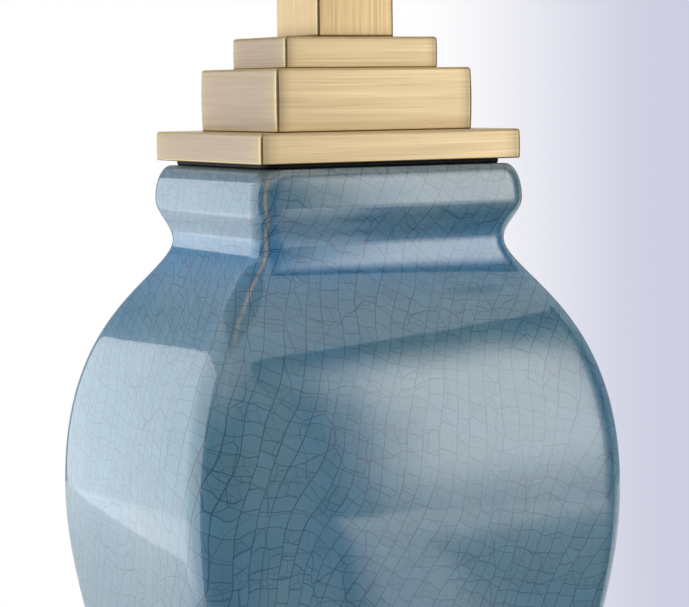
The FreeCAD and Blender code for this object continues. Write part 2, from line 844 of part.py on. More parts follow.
def make_switch_shaft():
    """Steel shaft that turns in the switch body."""
    length = -knob_face_y() + knob_collar_length - shaft_inner_end
    return Part.makeCylinder(shaft_radius, length, Vector(0, -shaft_inner_end, knob_z), Vector(0, -1, 0))


def make_switch_knob():
    """Flat key with round ends on a short collar."""
    start = Vector(0, knob_face_y(), knob_z)
    collar = Part.makeCylinder(knob_collar_radius, knob_collar_length, start, Vector(0, -1, 0))
    key_y = knob_face_y() - knob_key_start
    corner_point = Vector(-knob_width / 2, key_y - knob_length, knob_z - knob_thickness / 2)
    key = Part.makeBox(knob_width, knob_length, knob_thickness, corner_point)
    key = key.makeFillet(knob_corner_radius, upright_edges(key))
    flat_edges = level_edges(key, knob_z + knob_thickness / 2) + level_edges(key, knob_z - knob_thickness / 2)
    key = key.makeFillet(knob_edge_radius, flat_edges)
    hole = Part.makeCylinder(shaft_radius, knob_collar_length, start, Vector(0, -1, 0))
    return collar.fuse(key).cut(hole).removeSplitter()


# ---------------------------------------------------------------- shade
def shade_size(z, inset):
    """The shade's outside width and depth at height z, drawn in by an inset."""
    share = (z - shade_bottom_z) / shade_height
    width = shade_bottom_width + (shade_top_width - shade_bottom_width) * share
    depth = shade_bottom_depth + (shade_top_depth - shade_bottom_depth) * share
    return width - 2 * inset, depth - 2 * inset


def shade_band(low_z, high_z, outset, inset):
    """Part of the shade's four-sided taper, between two heights and two offsets."""
    walls = []
    for offset in (-outset, inset):
        corner = shade_corner_radius - offset
        wires = []
        for z in (low_z, high_z):
            width, depth = shade_size(z, offset)
            wires.append(rounded_wire(width, depth, corner, z))
        walls.append(Part.makeLoft(wires, True, True))
    return walls[0].cut(walls[1])


def make_shade_panel():
    """Linen on a stiff backing, four sides with rounded corners."""
    return shade_band(shade_bottom_z, shade_top_z, 0, shade_thickness)


def make_shade_trim(low_z):
    """Folded hem round an edge of the shade."""
    return shade_band(low_z, low_z + shade_trim_height, shade_trim_thickness, 0)


def wire_inset():
    """How far the frame's wires lie inside the shade's outside."""
    return shade_thickness + shade_wire_radius + shade_wire_gap


def shade_ring(z):
    """Wire frame that holds the shade's panel in shape, at height z."""
    width, depth = shade_size(z, wire_inset())
    x = width / 2
    y = depth / 2
    points = [Vector(x, -y, z), Vector(x, y, z), Vector(-x, y, z), Vector(-x, -y, z)]
    path = bent_path(points, [shade_corner_radius] * 4, closed=True)
    return wire_rod(path, shade_wire_radius)


def make_shade_bottom_ring():
    """Wire frame inside the bottom hem."""
    return shade_ring(shade_bottom_z + 2 * shade_wire_radius)


def make_shade_spider():
    """Top wire frame with four arms down to the hub that sits on the harp."""
    ring_z = shade_top_z - 2 * shade_wire_radius
    width, depth = shade_size(ring_z, wire_inset())
    spider = shade_ring(ring_z)
    hub = ring(hub_radius, stud_radius + hub_clearance, hub_thickness, hub_z)
    spider = spider.fuse(hub)
    arm_z = hub_z + hub_thickness / 2
    arms = ((1, 0, width / 2), (-1, 0, width / 2), (0, 1, depth / 2), (0, -1, depth / 2))
    for way_x, way_y, reach in arms:
        way = Vector(way_x, way_y, 0)
        start = way * (hub_radius - arm_lap) + Vector(0, 0, arm_z)
        bend = way * (hub_radius + arm_level_run) + Vector(0, 0, arm_z)
        end = way * reach + Vector(0, 0, ring_z)
        arm = wire_rod(bent_path([start, bend, end], [arm_bend_radius]), arm_wire_radius)
        spider = spider.fuse(arm)
    return spider.cut(cylinder(stud_radius + hub_clearance, hub_thickness, hub_z)).removeSplitter()


# ---------------------------------------------------------------- finial
def make_finial():
    """Stepped brass nut that holds the shade down, a small echo of the lamp's cap."""
    plate_z = finial_z + finial_seat_height
    block_z = plate_z + finial_plate_height
    post_top_z = block_z + finial_block_height
    finial = cylinder(finial_seat_radius, finial_seat_height, finial_z)
    plate = block(finial_plate_size, finial_plate_size, finial_plate_height, plate_z)
    body = block(finial_block_size, finial_block_size, finial_block_height, block_z)
    base = Part.Wire(rounded_wire(finial_post_size, finial_post_size, finial_post_corner, post_top_z))
    tip_z = post_top_z + finial_tip_height
    tip = Part.Wire(rounded_wire(finial_tip_size, finial_tip_size, finial_tip_corner, tip_z))
    pyramid = Part.makeLoft([base, tip], True, True)
    finial = finial.fuse(plate).fuse(body).fuse(pyramid)
    hole = cylinder(stud_radius + turning_clearance, stud_length - running_gap, finial_z)
    return finial.cut(hole).removeSplitter()


# ---------------------------------------------------------------- every sub-part, by its name
def make_parts():
    """All sub-parts as a table of node name to shape."""
    return {
        "base_pad": make_base_pad(),
        "cover_screws": make_cover_screws(),
        "bottom_cover": make_bottom_cover(),
        "cover_bosses": make_cover_bosses(),
        "plinth": make_plinth(),
        "cord_inlet": make_cord_inlet(),
        "base_step": brass_tier(base_step_width, base_step_depth, base_step_height, base_step_z),
        "clamp_plate": make_clamp_plate(),
        "lock_washer": ring(washer_radius, clear_hole, washer_thickness, lock_washer_z),
        "base_nut": hexagon(nut_across_flats, nut_height, base_nut_z, pipe_radius + thread_clearance),
        "foot_gasket": make_foot_gasket(),
        "ceramic_body": make_ceramic_body(),
        "rim_gasket": make_rim_gasket(),
        "cap_floor": make_cap_floor(),
        "cap_plate": brass_tier(cap_plate_width, cap_plate_depth, cap_plate_height, cap_plate_z),
        "cap_block": brass_tier(cap_block_width, cap_block_depth, cap_block_height, cap_block_z),
        "cap_step": brass_tier(cap_step_width, cap_step_depth, cap_step_height, cap_step_z),
        "neck_post": make_neck_post(),
        "post_lid": make_post_lid(),
        "lamp_pipe": make_lamp_pipe(),
        "neck_washer": ring(washer_radius, clear_hole, washer_thickness, neck_washer_z),
        "neck_nut": hexagon(nut_across_flats, nut_height, neck_nut_z, pipe_radius + thread_clearance),
        "harp_saddle": make_harp_saddle(),
        "harp": make_harp(),
        "harp_stud": make_harp_stud(),
        "left_sleeve": make_sleeve(-1),
        "right_sleeve": make_sleeve(1),
        "socket_cap": make_socket_cap(),
        "socket_shell": make_socket_shell(),
        "socket_liner": make_socket_liner(),
        "switch_body": make_switch_body(),
        "terminal_screws": make_terminal_screws(),
        "screw_shell": make_screw_shell(),
        "centre_contact": make_centre_contact(),
        "switch_shaft": make_switch_shaft(),
        "switch_knob": make_switch_knob(),
        "shade_panel": make_shade_panel(),
        "shade_trim_bottom": make_shade_trim(shade_bottom_z),
        "shade_trim_top": make_shade_trim(shade_top_z - shade_trim_height),
        "shade_bottom_ring": make_shade_bottom_ring(),
        "shade_spider": make_shade_spider(),
        "finial": make_finial(),
    }


def main():
    """Builds every sub-part and writes one STEP file for each."""
    os.makedirs("parts", exist_ok=True)
    for name, shape in make_parts().items():
        sound = shape.isValid() and all(solid.isClosed() for solid in shape.Solids)
        box = shape.BoundBox
        size = (round(box.XLength, 1), round(box.YLength, 1), round(box.ZLength, 1))
        print(name, "solids", len(shape.Solids), "volume", round(shape.Volume), "size", size, "sound", sound)
        shape.exportStep("parts/" + name + ".step")


main()
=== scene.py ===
# %% [markdown]
# # An oblong, crackle-glazed table lamp
# The lamp is a slip-cast jar with four gently crowned sides. One threaded pipe clamps it between
# stepped boxes of brushed brass, and carries the socket, the harp and a four-sided linen shade.
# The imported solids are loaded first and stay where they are. The scene then adds finer surfaces,
# finishes, light and a camera. Lengths are in millimetres, and become metres when a mesh is made.

import math

import bpy
import numpy as np
from mathutils import Matrix, Vector


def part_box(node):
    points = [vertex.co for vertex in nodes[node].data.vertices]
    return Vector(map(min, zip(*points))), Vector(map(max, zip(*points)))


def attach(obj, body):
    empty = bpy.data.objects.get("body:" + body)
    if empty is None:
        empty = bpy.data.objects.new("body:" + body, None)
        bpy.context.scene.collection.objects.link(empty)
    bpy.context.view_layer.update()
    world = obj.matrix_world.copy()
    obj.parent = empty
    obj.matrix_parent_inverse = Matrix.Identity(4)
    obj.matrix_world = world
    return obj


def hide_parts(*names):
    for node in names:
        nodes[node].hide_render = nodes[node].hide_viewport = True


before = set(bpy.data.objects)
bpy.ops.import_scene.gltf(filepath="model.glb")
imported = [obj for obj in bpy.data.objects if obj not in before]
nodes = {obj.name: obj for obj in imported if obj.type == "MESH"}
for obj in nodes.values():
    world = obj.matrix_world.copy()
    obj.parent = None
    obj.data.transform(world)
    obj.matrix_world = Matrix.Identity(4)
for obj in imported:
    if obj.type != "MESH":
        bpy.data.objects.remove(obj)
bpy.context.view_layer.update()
MM = 0.001

# %% [markdown]
# ## Where the pieces go
# Nothing here is placed by eye. Each new piece asks the solid it dresses for its lowest and
# highest corner, so the brass, the glaze and the linen stay on what carries them.

# %% Ask a solid for its place
def box_mm(node):
    """A solid's lowest and highest corner, in millimetres."""
    low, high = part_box(node)
    return np.array(low) / MM, np.array(high) / MM


def add_object(name, data):
    """Puts a mesh, a light or the camera into the scene."""
    added = bpy.data.objects.new(name, data)
    bpy.context.scene.collection.objects.link(added)
    return added


def aim(right, up, back, place):
    """Where a camera or light stands, and its own three axes, as a matrix."""
    return Matrix.Translation(place) @ Matrix((right, up, back)).transposed().to_4x4()


jar_low, jar_high = box_mm("ceramic_body")
print("the jar stands from", round(jar_low[2], 1), "to", round(jar_high[2], 1), "mm")

# %% [markdown]
# ## The camera
# The photographer stood at the lamp's left front corner, a little above the neck, with a long
# lens, looking slightly down. The place was fitted to the corners of the brass tiers, at the
# sizes they are taken to have. Two directions, forward and right, are enough to build the
# camera's own axes.

# %% Camera
camera_data = bpy.data.cameras.new("view")
camera_data.sensor_width = 36.0
camera_data.lens = 119.29
camera_data.clip_start = 0.01
camera = add_object("view", camera_data)

camera_place = Vector((-489.5, -877.2, 411.3)) * MM
ahead = Vector((0.4898, 0.8718, 0.0)).normalized()
pitch, roll = math.radians(5.37), math.radians(-0.68)
forward = ahead * math.cos(pitch) - Vector((0, 0, math.sin(pitch)))
level_right = ahead.cross(Vector((0, 0, 1)))
level_up = level_right.cross(forward)
right = level_right * math.cos(roll) + level_up * math.sin(roll)
up = level_up * math.cos(roll) - level_right * math.sin(roll)
camera.matrix_world = aim(right, up, -forward, camera_place)
bpy.context.scene.camera = camera
print("camera", [round(c, 3) for c in camera_place], "lens", camera_data.lens)

# %% [markdown]
# ## Surfaces from grids
# Every new piece is a grid of points: one outline repeated at many levels, or a small profile
# carried along a path. numpy works out all the points at once. The four points round each cell
# of the grid make one face, and the order they are taken in makes the face look outwards.

# %% Grids of points and their faces
def column(values):
    """Numbers for the rows of a grid, ready to be combined with its columns."""
    return np.atleast_1d(np.asarray(values, float)).reshape(-1, 1)


def full_turn(steps):
    """Angles once round."""
    return np.linspace(0, 2 * math.pi, steps, endpoint=False)


def raised(x, y, row_z):
    """A grid's points from x and y at each point and one height for each row."""
    return np.stack([x, y, np.broadcast_to(column(row_z), x.shape)], -1)


def grid_faces(rows, columns, closed_rows=False):
    """Four point numbers for each cell: a point, its neighbour, and the two above them."""
    r, c = np.meshgrid(np.arange(rows if closed_rows else rows - 1), np.arange(columns), indexing="ij")
    above, beside = (r + 1) % rows, (c + 1) % columns
    corners = [r * columns + c, r * columns + beside, above * columns + beside, above * columns + c]
    return np.stack(corners, -1).reshape(-1, 4)


def join_grids(grids):
    """Points and faces of (grid, closed) pairs; closed says that the last row meets the first.

    An open grid gets a flat face over its first row and another over its last.
    """
    polygons, base = [], 0
    for grid, closed in grids:
        rows, columns = grid.shape[:2]
        polygons += (grid_faces(rows, columns, closed) + base).tolist()
        if not closed:
            polygons.append(list(range(base + columns - 1, base - 1, -1)))
            polygons.append(list(range(base + (rows - 1) * columns, base + rows * columns)))
        base += rows * columns
    return np.concatenate([grid.reshape(-1, 3) for grid, _ in grids]), polygons


def surface_map(points, at=0):
    """Flat map of a closed grid in millimetres, as the place of each face's four corners.

    Sideways is the length along the row from its middle, upwards the length along one column.
    """
    looped = np.concatenate([points, points[:, :1]], 1)
    lengths = np.cumsum(np.linalg.norm(np.diff(looped, axis=1), axis=2), 1)
    across = np.concatenate([np.zeros((len(points), 1)), lengths], 1)
    across -= across[:, -1:] / 2
    across = np.concatenate([across, across[:1]], 0)
    profile = np.concatenate([points[:, at], points[:1, at]])
    climb = np.concatenate([[0], np.cumsum(np.linalg.norm(np.diff(profile, axis=0), axis=1))])
    flat = np.stack([across, np.broadcast_to(column(climb), across.shape)], -1)
    low, high = flat[:-1], flat[1:]
    return np.stack([low[:, :-1], low[:, 1:], high[:, 1:], high[:, :-1]], 2)


# %% [markdown]
# Each piece of the lamp is one object, so that it can ride on the body it belongs to and take the
# place of its plain solid. One function does all of that, so no piece can miss a step.

# %% Pieces
def mesh_object(name, points, polygons):
    """A mesh from points in millimetres, put into the scene."""
    mesh = bpy.data.meshes.new(name)
    mesh.from_pydata((np.reshape(points, (-1, 3)) * MM).tolist(), [], polygons)
    return add_object(name, mesh)


def make_piece(name, grids, body, material, stands_for, uv=None, values=None):
    """Grids as one smooth piece, with its finish, the body it rides on and the solid it stands for."""
    points, polygons = join_grids(grids)
    piece = mesh_object(name, points, polygons)
    mesh = piece.data
    mesh.polygons.foreach_set("use_smooth", np.ones(len(polygons), bool))
    if uv is not None:
        mesh.uv_layers.new(name="surface_mm").data.foreach_set("uv", uv.ravel().astype(np.float32))
    for key, value in (values or {}).items():
        attribute = mesh.attributes.new(key, "FLOAT", "POINT")
        attribute.data.foreach_set("value", value.ravel().astype(np.float32))
    mesh.update()
    mesh.materials.append(material)
    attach(piece, body)
    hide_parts(stands_for)
    return piece


# %% [markdown]
# ## Outlines with four sides and round corners
# The jar, the brass boxes, the rubber and the shade all have four sides and round corners. One
# table of columns serves them all: each column lies on a side or in a corner, at a share of
# its length. The table starts in the middle of the back, where a seam does the least harm.

# %% Columns round a four-sided outline
def outline_columns(side_shares, corner_steps):
    """Columns in order round the outline, as arrays of kind (0 side, 1 corner), angle and share."""
    sides = np.asarray(side_shares)
    corner = np.linspace(0, 1, corner_steps, endpoint=False)
    parts = [(0, 90, sides[sides >= 0])]
    for quarter in (135, 225, 315):
        parts += [(1, quarter, corner), (0, quarter + 45, sides)]
    parts += [(1, 405, corner), (0, 450, sides[sides < 0])]
    kind = np.concatenate([np.full(len(t), k) for k, _, t in parts])
    angle = np.concatenate([np.full(len(t), float(a)) for _, a, t in parts])
    share = np.concatenate([t for _, _, t in parts])
    return kind, np.radians(angle), share


def rounded_outline(columns, half_width, half_depth, corner, roll=0.0, bow=0.0):
    """A rectangle with round corners: straight sides, and a quarter circle at each corner.

    roll lets each side fall away near its ends by the fourth power of the share along it.
    bow moves each side out in its middle by one less the square of that share.
    """
    kind, angle, share = columns
    half_width, half_depth, corner = column(half_width), column(half_depth), column(corner)
    reach_x, reach_y = half_width - corner, half_depth - corner
    across, along = np.cos(angle), np.sin(angle)
    on_x = np.abs(np.round(across))
    half = on_x * half_width + (1 - on_x) * half_depth
    reach = on_x * reach_y + (1 - on_x) * reach_x
    out = half - column(roll) * share**4 + column(bow) * (1 - share**2)
    side_x = across * out - along * reach * share
    side_y = along * out + across * reach * share
    turn = angle - math.pi / 4 + share * math.pi / 2
    ease = column(roll) * (1 - np.sin(share * math.pi))
    corner_x = np.sign(across) * reach_x + (corner - ease) * np.cos(turn)
    corner_y = np.sign(along) * reach_y + (corner - ease) * np.sin(turn)
    return np.where(kind == 0, side_x, corner_x), np.where(kind == 0, side_y, corner_y)


def circle_outline(columns, radius):
    """A circle with the same columns, each at its own angle."""
    kind, angle, share = columns
    eighth = math.radians(45)
    turn = np.where(kind == 0, angle + share * eighth / 2, angle + (share - 0.5) * eighth)
    return column(radius) * np.cos(turn), column(radius) * np.sin(turn)


# %% [markdown]
# ## Small helpers for materials
# A material is a graph of nodes. These helpers add one node at a time and wire it up, so that
# each finish below reads like a recipe. Colours are written as the eye sees them, 0 to 255, and
# turned into the linear numbers that light is added up in.

# %% Node helpers
def tone(red, green, blue):
    """A colour as seen on a screen, as linear light: a power curve with a straight foot."""
    seen = np.array([red, green, blue]) / 255
    linear = np.where(seen <= 0.04045, seen / 12.92, ((seen + 0.055) / 1.055) ** 2.4)
    return (*linear.tolist(), 1.0)


def plug(tree, socket, value):
    """Gives an input a value, or links another node's output to it."""
    if isinstance(value, bpy.types.NodeSocket):
        tree.links.new(value, socket)
    else:
        socket.default_value = value


def node(tree, kind, wires=None, **settings):
    """One node: settings are its choices; wires are inputs, each a value or another's output."""
    made = tree.nodes.new("ShaderNode" + kind)
    for key, value in settings.items():
        setattr(made, key, value)
    for key, value in (wires or {}).items():
        plug(tree, made.inputs[key], value)
    return made


def calc(tree, operation, *values):
    """One calculation on numbers."""
    return node(tree, "Math", dict(enumerate(values)), operation=operation).outputs[0]


def times(tree, first, second):
    """Two numbers multiplied."""
    return calc(tree, "MULTIPLY", first, second)


def shift(tree, operation, *values):
    """One calculation on places in space."""
    wires = dict(enumerate(values))
    if operation == "SCALE":
        wires = {0: values[0], "Scale": values[1]}
    return node(tree, "VectorMath", wires, operation=operation).outputs[0]


def along(tree, place, direction):
    """How far a place lies in a direction."""
    return node(tree, "VectorMath", {0: place, 1: direction}, operation="DOT_PRODUCT").outputs["Value"]


def painted(tree, key):
    """A number that the piece carries on its points."""
    return node(tree, "Attribute", attribute_name=key).outputs["Fac"]


def blend(tree, factor, first, second):
    """One colour over another."""
    wires = {0: factor, 6: first, 7: second}
    return node(tree, "Mix", wires, data_type="RGBA", blend_type="MIX").outputs[2]


def spread(tree, value, low, high, to_low=0.0, to_high=1.0, how="LINEAR"):
    """A number taken from one range to another, and kept inside it."""
    wires = {0: value, 1: low, 2: high, 3: to_low, 4: to_high}
    return node(tree, "MapRange", wires, interpolation_type=how, clamp=True).outputs[0]


def noise(tree, place, scale, detail=2.0, roughness=0.5, output="Fac"):
    """Soft random values about a half; scale is turns of the pattern in a millimetre, each way."""
    wires = {"Vector": place, "Scale": np.broadcast_to(scale, 3).tolist()}
    stretched = node(tree, "Mapping", wires, vector_type="POINT").outputs[0]
    wires = {"Vector": stretched, "Scale": 1.0, "Detail": detail, "Roughness": roughness}
    return node(tree, "TexNoise", wires).outputs[output]


def relief(tree, height, distance, strength, under=None):
    """Turns a height into a bumpy normal; distance is the full height in millimetres."""
    wires = {"Height": height, "Distance": distance * MM, "Strength": strength}
    if under is not None:
        wires["Normal"] = under
    return node(tree, "Bump", wires).outputs[0]


def new_material(name):
    """An empty material: its tree, its surface shader, and places on the piece in millimetres."""
    material = bpy.data.materials.new(name)
    material.use_nodes = True
    tree = material.node_tree
    surface = tree.nodes["Principled BSDF"]
    place = node(tree, "TexCoord").outputs["Object"]
    return material, tree, surface, shift(tree, "SCALE", place, 1 / MM)


def wire_up(tree, surface, **inputs):
    """Sets or links the surface shader's inputs; underscores stand for spaces."""
    for key, value in inputs.items():
        plug(tree, surface.inputs[key.replace("_", " ")], value)


def see_through(tree, share, surface):
    """Makes a share of the surface clear."""
    clear = node(tree, "BsdfTransparent").outputs[0]
    mix = node(tree, "MixShader", {0: share, 1: surface, 2: clear})
    tree.links.new(mix.outputs[0], tree.nodes["Material Output"].inputs[0])


# %% [markdown]
# ## Crackle glaze
# The jar is dipped in a blue-grey glaze that shrinks more than the clay as it cools, so it
# crazes. Long cracks come first and run up the jar. Shorter ones come later and stop where they
# meet an older one, which leaves small four-sided cells. Nested random cells do the same: the
# second set of cells is shifted inside each cell of the first, so its lines end there too.
# The cracks lie under a clear, glossy skin, so they are colour, and the gloss is a coat.

# %% Glaze material
def crack_line(tree, place, size, random, inner, outer, dimensions="2D"):
    """Lines between random cells of a size in millimetres, and a random colour for each cell."""
    if dimensions == "1D":
        wires = {"W": calc(tree, "DIVIDE", place, size)}
    else:
        wires = {"Vector": shift(tree, "SCALE", place, 1 / size)}
    wires |= {"Scale": 1.0, "Randomness": random}
    edge, cell = (node(tree, "TexVoronoi", wires, feature=feature, voronoi_dimensions=dimensions)
                  for feature in ("DISTANCE_TO_EDGE", "F1"))
    distance = times(tree, edge.outputs["Distance"], size)
    line = spread(tree, distance, inner, outer, 1.0, 0.0, "SMOOTHSTEP")
    return line, cell.outputs["Color"]


def long_cracks(tree, place, way, size, outer):
    """One family of long cracks, at random distances from each other along one direction."""
    return crack_line(tree, along(tree, place, way), size, 0.75, 0.06, outer, "1D")


def nudge(tree, place, scale, amount):
    """Noise as a shift in millimetres, the same in all directions."""
    colour = noise(tree, place, scale, 1.0, output="Color")
    return shift(tree, "SCALE", shift(tree, "SUBTRACT", colour, (0.5, 0.5, 0.5)), amount)


def crazing(tree, flat, place):
    """How dark the cracks are, and random colours for the strips between the shorter cracks."""
    drift = shift(tree, "ADD", flat, nudge(tree, place, (0.013, 0.013, 0.011), 42.0))
    bent = shift(tree, "ADD", drift, nudge(tree, place, (0.06, 0.06, 0.05), 3.2))
    upright, strip = long_cracks(tree, bent, (0.93, -0.37, 0.0), 7.4, 0.34)
    chance = node(tree, "SeparateColor", {0: strip}).outputs[0]
    step = times(tree, calc(tree, "FLOOR", times(tree, chance, 2.4)), 61.0)
    loose = shift(tree, "ADD", drift, nudge(tree, place, 0.075, 6.5))
    slid = node(tree, "CombineXYZ", {1: step}).outputs[0]
    level, rung = long_cracks(tree, shift(tree, "ADD", loose, slid), (0.3, 0.95, 0.0), 6.6, 0.3)
    curled = shift(tree, "ADD", flat, nudge(tree, place, 0.06, 10.0))
    wild, cell = crack_line(tree, curled, 15.0, 0.9, 0.05, 0.34)
    both = shift(tree, "ADD", shift(tree, "SCALE", strip, 310.0), shift(tree, "SCALE", rung, 170.0))
    fine = crack_line(tree, shift(tree, "ADD", curled, both), 5.2, 0.7, 0.02, 0.26)[0]
    cell_chance, rung_chance = (node(tree, "SeparateColor", {0: colour}).outputs for colour in (cell, rung))
    fine = times(tree, fine, spread(tree, rung_chance[1], 0.45, 0.5, 0.0, 0.6))
    wild = times(tree, wild, spread(tree, cell_chance[1], 0.2, 0.3, 0.25, 0.85))
    older = calc(tree, "MAXIMUM", upright, times(tree, level, 0.85))
    return calc(tree, "MAXIMUM", older, calc(tree, "MAXIMUM", wild, fine)), rung_chance


def corner_ridge(tree, place):
    """A crack along each side of a wavy line up the corners, and the thin glaze between them."""
    thin, from_ridge = painted(tree, "thin"), painted(tree, "ridge_mm")
    wave = noise(tree, place, 0.08)
    wavy = calc(tree, "ABSOLUTE", calc(tree, "ADD", from_ridge, spread(tree, wave, 0.2, 0.8, -0.9, 0.9)))
    beside = calc(tree, "ABSOLUTE", calc(tree, "SUBTRACT", wavy, 0.9))
    crack = times(tree, spread(tree, beside, 0.05, 0.26, 0.55, 0.0),
                  times(tree, thin, spread(tree, wave, 0.4, 0.55)))
    halo = times(tree, thin, spread(tree, wavy, 0.3, 1.5, 1.0, 0.0, "SMOOTHSTEP"))
    return crack, times(tree, halo, spread(tree, wave, 0.3, 0.6, 0.45, 0.85))


def glaze_material():
    """Blue-grey glaze with nested crazing under a glossy coat."""
    material, tree, surface, place = new_material("crackle_glaze")
    flat = node(tree, "UVMap", uv_map="surface_mm").outputs[0]
    cracks, rung_chance = crazing(tree, flat, place)
    ridge_crack, halo = corner_ridge(tree, place)
    ink = spread(tree, noise(tree, place, 0.05), 0.3, 0.62, 0.7, 1.0)
    cracks = times(tree, calc(tree, "MAXIMUM", cracks, ridge_crack), ink)
    clouds = noise(tree, place, (0.02, 0.02, 0.014), 3.0)
    streaks = noise(tree, flat, (1.1, 0.03, 1.0), 3.0)
    colour = blend(tree, spread(tree, clouds, 0.35, 0.65), tone(74, 126, 154), tone(94, 136, 152))
    for share, tint in ((spread(tree, streaks, 0.35, 0.7, 0.0, 0.22), tone(110, 146, 158)),
                        (times(tree, painted(tree, "pool"), 0.7), tone(62, 140, 192)),
                        (halo, tone(176, 166, 146)),
                        (times(tree, painted(tree, "rim"), 0.5), tone(160, 158, 146))):
        colour = blend(tree, share, colour, tint)
    colour = shift(tree, "SCALE", colour, spread(tree, rung_chance[0], 0.0, 1.0, 0.93, 1.07))
    colour = blend(tree, times(tree, cracks, 0.86), colour, tone(30, 62, 98))
    swell = noise(tree, place, (0.05, 0.05, 0.035), 1.0)
    ripple = noise(tree, place, (0.4, 0.4, 0.3), 1.0)
    gloss = relief(tree, ripple, 0.012, 0.3, relief(tree, swell, 0.12, 0.6))
    under = relief(tree, cracks, -0.03, 0.4, gloss)
    wire_up(tree, surface, Base_Color=colour, Roughness=0.3, Specular_IOR_Level=0.35, Normal=under)
    wire_up(tree, surface, Coat_Weight=1.0, Coat_Roughness=0.05, Coat_IOR=1.7, Coat_Normal=gloss)
    return material


crackle_glaze = glaze_material()
print("glaze nodes:", len(crackle_glaze.node_tree.nodes))

# %% [markdown]
# ## The jar
# A mould-maker would call this an oblong baluster jar: a rolled collar, a tight waist, a broad
# shoulder and belly, and a long taper to the foot. Each level is a closed outline of four large
# crowned arcs and four small corner arcs, all tangent. The half width, half depth, corner and
# crown of that outline change with height, so the jar is a function of two parameters: the
# distance below the rim, and the place round the outline.

# %% Sizes of the jar's levels
collar_drop, waist_drop, belly_drop, foot_drop = 15.0, 33.0, 143.0, jar_high[2] - jar_low[2]
rim_half, collar_half, waist_half = (60.0, 50.5), (66.5, 54.5), (62.0, 46.5)
belly_half, foot_half = (107.0, 80.0), (74.0, 55.0)
waist_pull, belly_pull_up, belly_pull_down, foot_pull = (12.0, 24.0), 81.0, 60.0, 60.0
collar_corner, belly_corner, foot_corner = 9.0, 18.0, 14.0
collar_crown, belly_crown = 1.2, 3.0


def flank(drop, top, bottom, pull_start, pull_end, top_drop, bottom_drop):
    """A flank's half size: a smooth step in width against a cubic curve in height."""
    t = np.linspace(0, 1, 600)
    length = bottom_drop - top_drop
    pulls = 3 * (1 - t) ** 2 * t * pull_start + 3 * (1 - t) * t**2 * (length - pull_end)
    drops = top_drop + pulls + t**3 * length
    halves = top + (bottom - top) * (3 * t**2 - 2 * t**3)
    return np.interp(drop, drops, halves)


def jar_half(drop, way):
    """Half width (way 0) or half depth (way 1) at a drop below the rim."""
    turn = np.arccos(np.clip(1 - drop / collar_drop, -1, 1))
    collar = rim_half[way] + (collar_half[way] - rim_half[way]) * np.sin(turn)
    sink = np.clip((drop - collar_drop) / (waist_drop - collar_drop), 0, 1)
    neck = collar_half[way] + (waist_half[way] - collar_half[way]) * (1 - np.cos(math.pi * sink)) / 2
    upper = flank(drop, waist_half[way], belly_half[way], waist_pull[way], belly_pull_up,
                  waist_drop, belly_drop)
    lower = flank(drop, belly_half[way], foot_half[way], belly_pull_down, foot_pull,
                  belly_drop, foot_drop)
    zones = [drop < collar_drop, drop < waist_drop, drop < belly_drop]
    return np.select(zones, [collar, neck, upper], lower)


def jar_section(drop):
    """Half width, half depth, corner radius and crown angle at each drop below the rim."""
    half_width, half_depth = jar_half(drop, 0), jar_half(drop, 1)
    grow = np.clip((half_width - waist_half[0]) / (belly_half[0] - waist_half[0]), 0, 1)
    sink = np.clip((drop - belly_drop) / (foot_drop - belly_drop), 0, 1)
    low = drop > belly_drop
    corner = np.where(low, belly_corner + (foot_corner - belly_corner) * sink,
                      collar_corner + (belly_corner - collar_corner) * grow)
    crown = np.where(low, belly_crown + (collar_crown - belly_crown) * sink,
                     collar_crown + (belly_crown - collar_crown) * grow)
    near_rim = drop <= waist_drop
    return (half_width, half_depth, np.where(near_rim, collar_corner, corner),
            np.where(near_rim, collar_crown, crown))


def crowned_outline(columns, half_width, half_depth, corner, crown):
    """Four crowned sides and four corners, all arcs, tangent where they meet.

    A side's arc turns through its crown angle each way, and a corner's arc through the rest of
    the right angle; centres and radii follow from the half sizes.
    """
    kind, angle, share = columns
    a, b, r, k = (column(value) for value in (half_width, half_depth, corner, crown))
    k = np.radians(k)
    lean = np.tan(k / 2)
    reach_x = a - r * np.cos(k) - r * np.sin(k) * lean
    reach_y = b - r * np.cos(k) - r * np.sin(k) * lean
    centre_x = (reach_x - reach_y * lean) / (1 - lean**2)
    centre_y = (reach_y - reach_x * lean) / (1 - lean**2)
    long_x = centre_y / np.sin(k) + r
    long_y = centre_x / np.sin(k) + r
    across, along = np.cos(angle), np.sin(angle)
    on_x = np.abs(np.round(across))
    radius = on_x * long_x + (1 - on_x) * long_y
    back = on_x * (a - long_x) + (1 - on_x) * (b - long_y)
    turn = angle + k * share
    side_x = np.round(across) * back + radius * np.cos(turn)
    side_y = np.round(along) * back + radius * np.sin(turn)
    swing = angle - math.pi / 4 + k + (math.pi / 2 - 2 * k) * share
    corner_x = np.sign(across) * centre_x + r * np.cos(swing)
    corner_y = np.sign(along) * centre_y + r * np.sin(swing)
    return np.where(kind == 0, side_x, corner_x), np.where(kind == 0, side_y, corner_y)


# %% [markdown]
# Slip casting leaves one skin of clay, so the jar is one closed surface. Its rows start at the
# hole in the floor, run out under the foot and up the outside. They lie closer where the shape
# turns fast, at the foot and the collar, and wider where it is nearly straight.

# %% The jar's rows, from the hole in its floor round to the inside of that floor
jar_wall, jar_floor, hole_radius, foot_round = 6.5, 8.0, 14.0, 2.5
mouth_half, mouth_corner, rim_ease, rim_flat = (48.0, 37.0), 5.0, 1.2, 2.0
mouth_depth, hole_ease, under_inset = 6.0, 3.0, 8.0

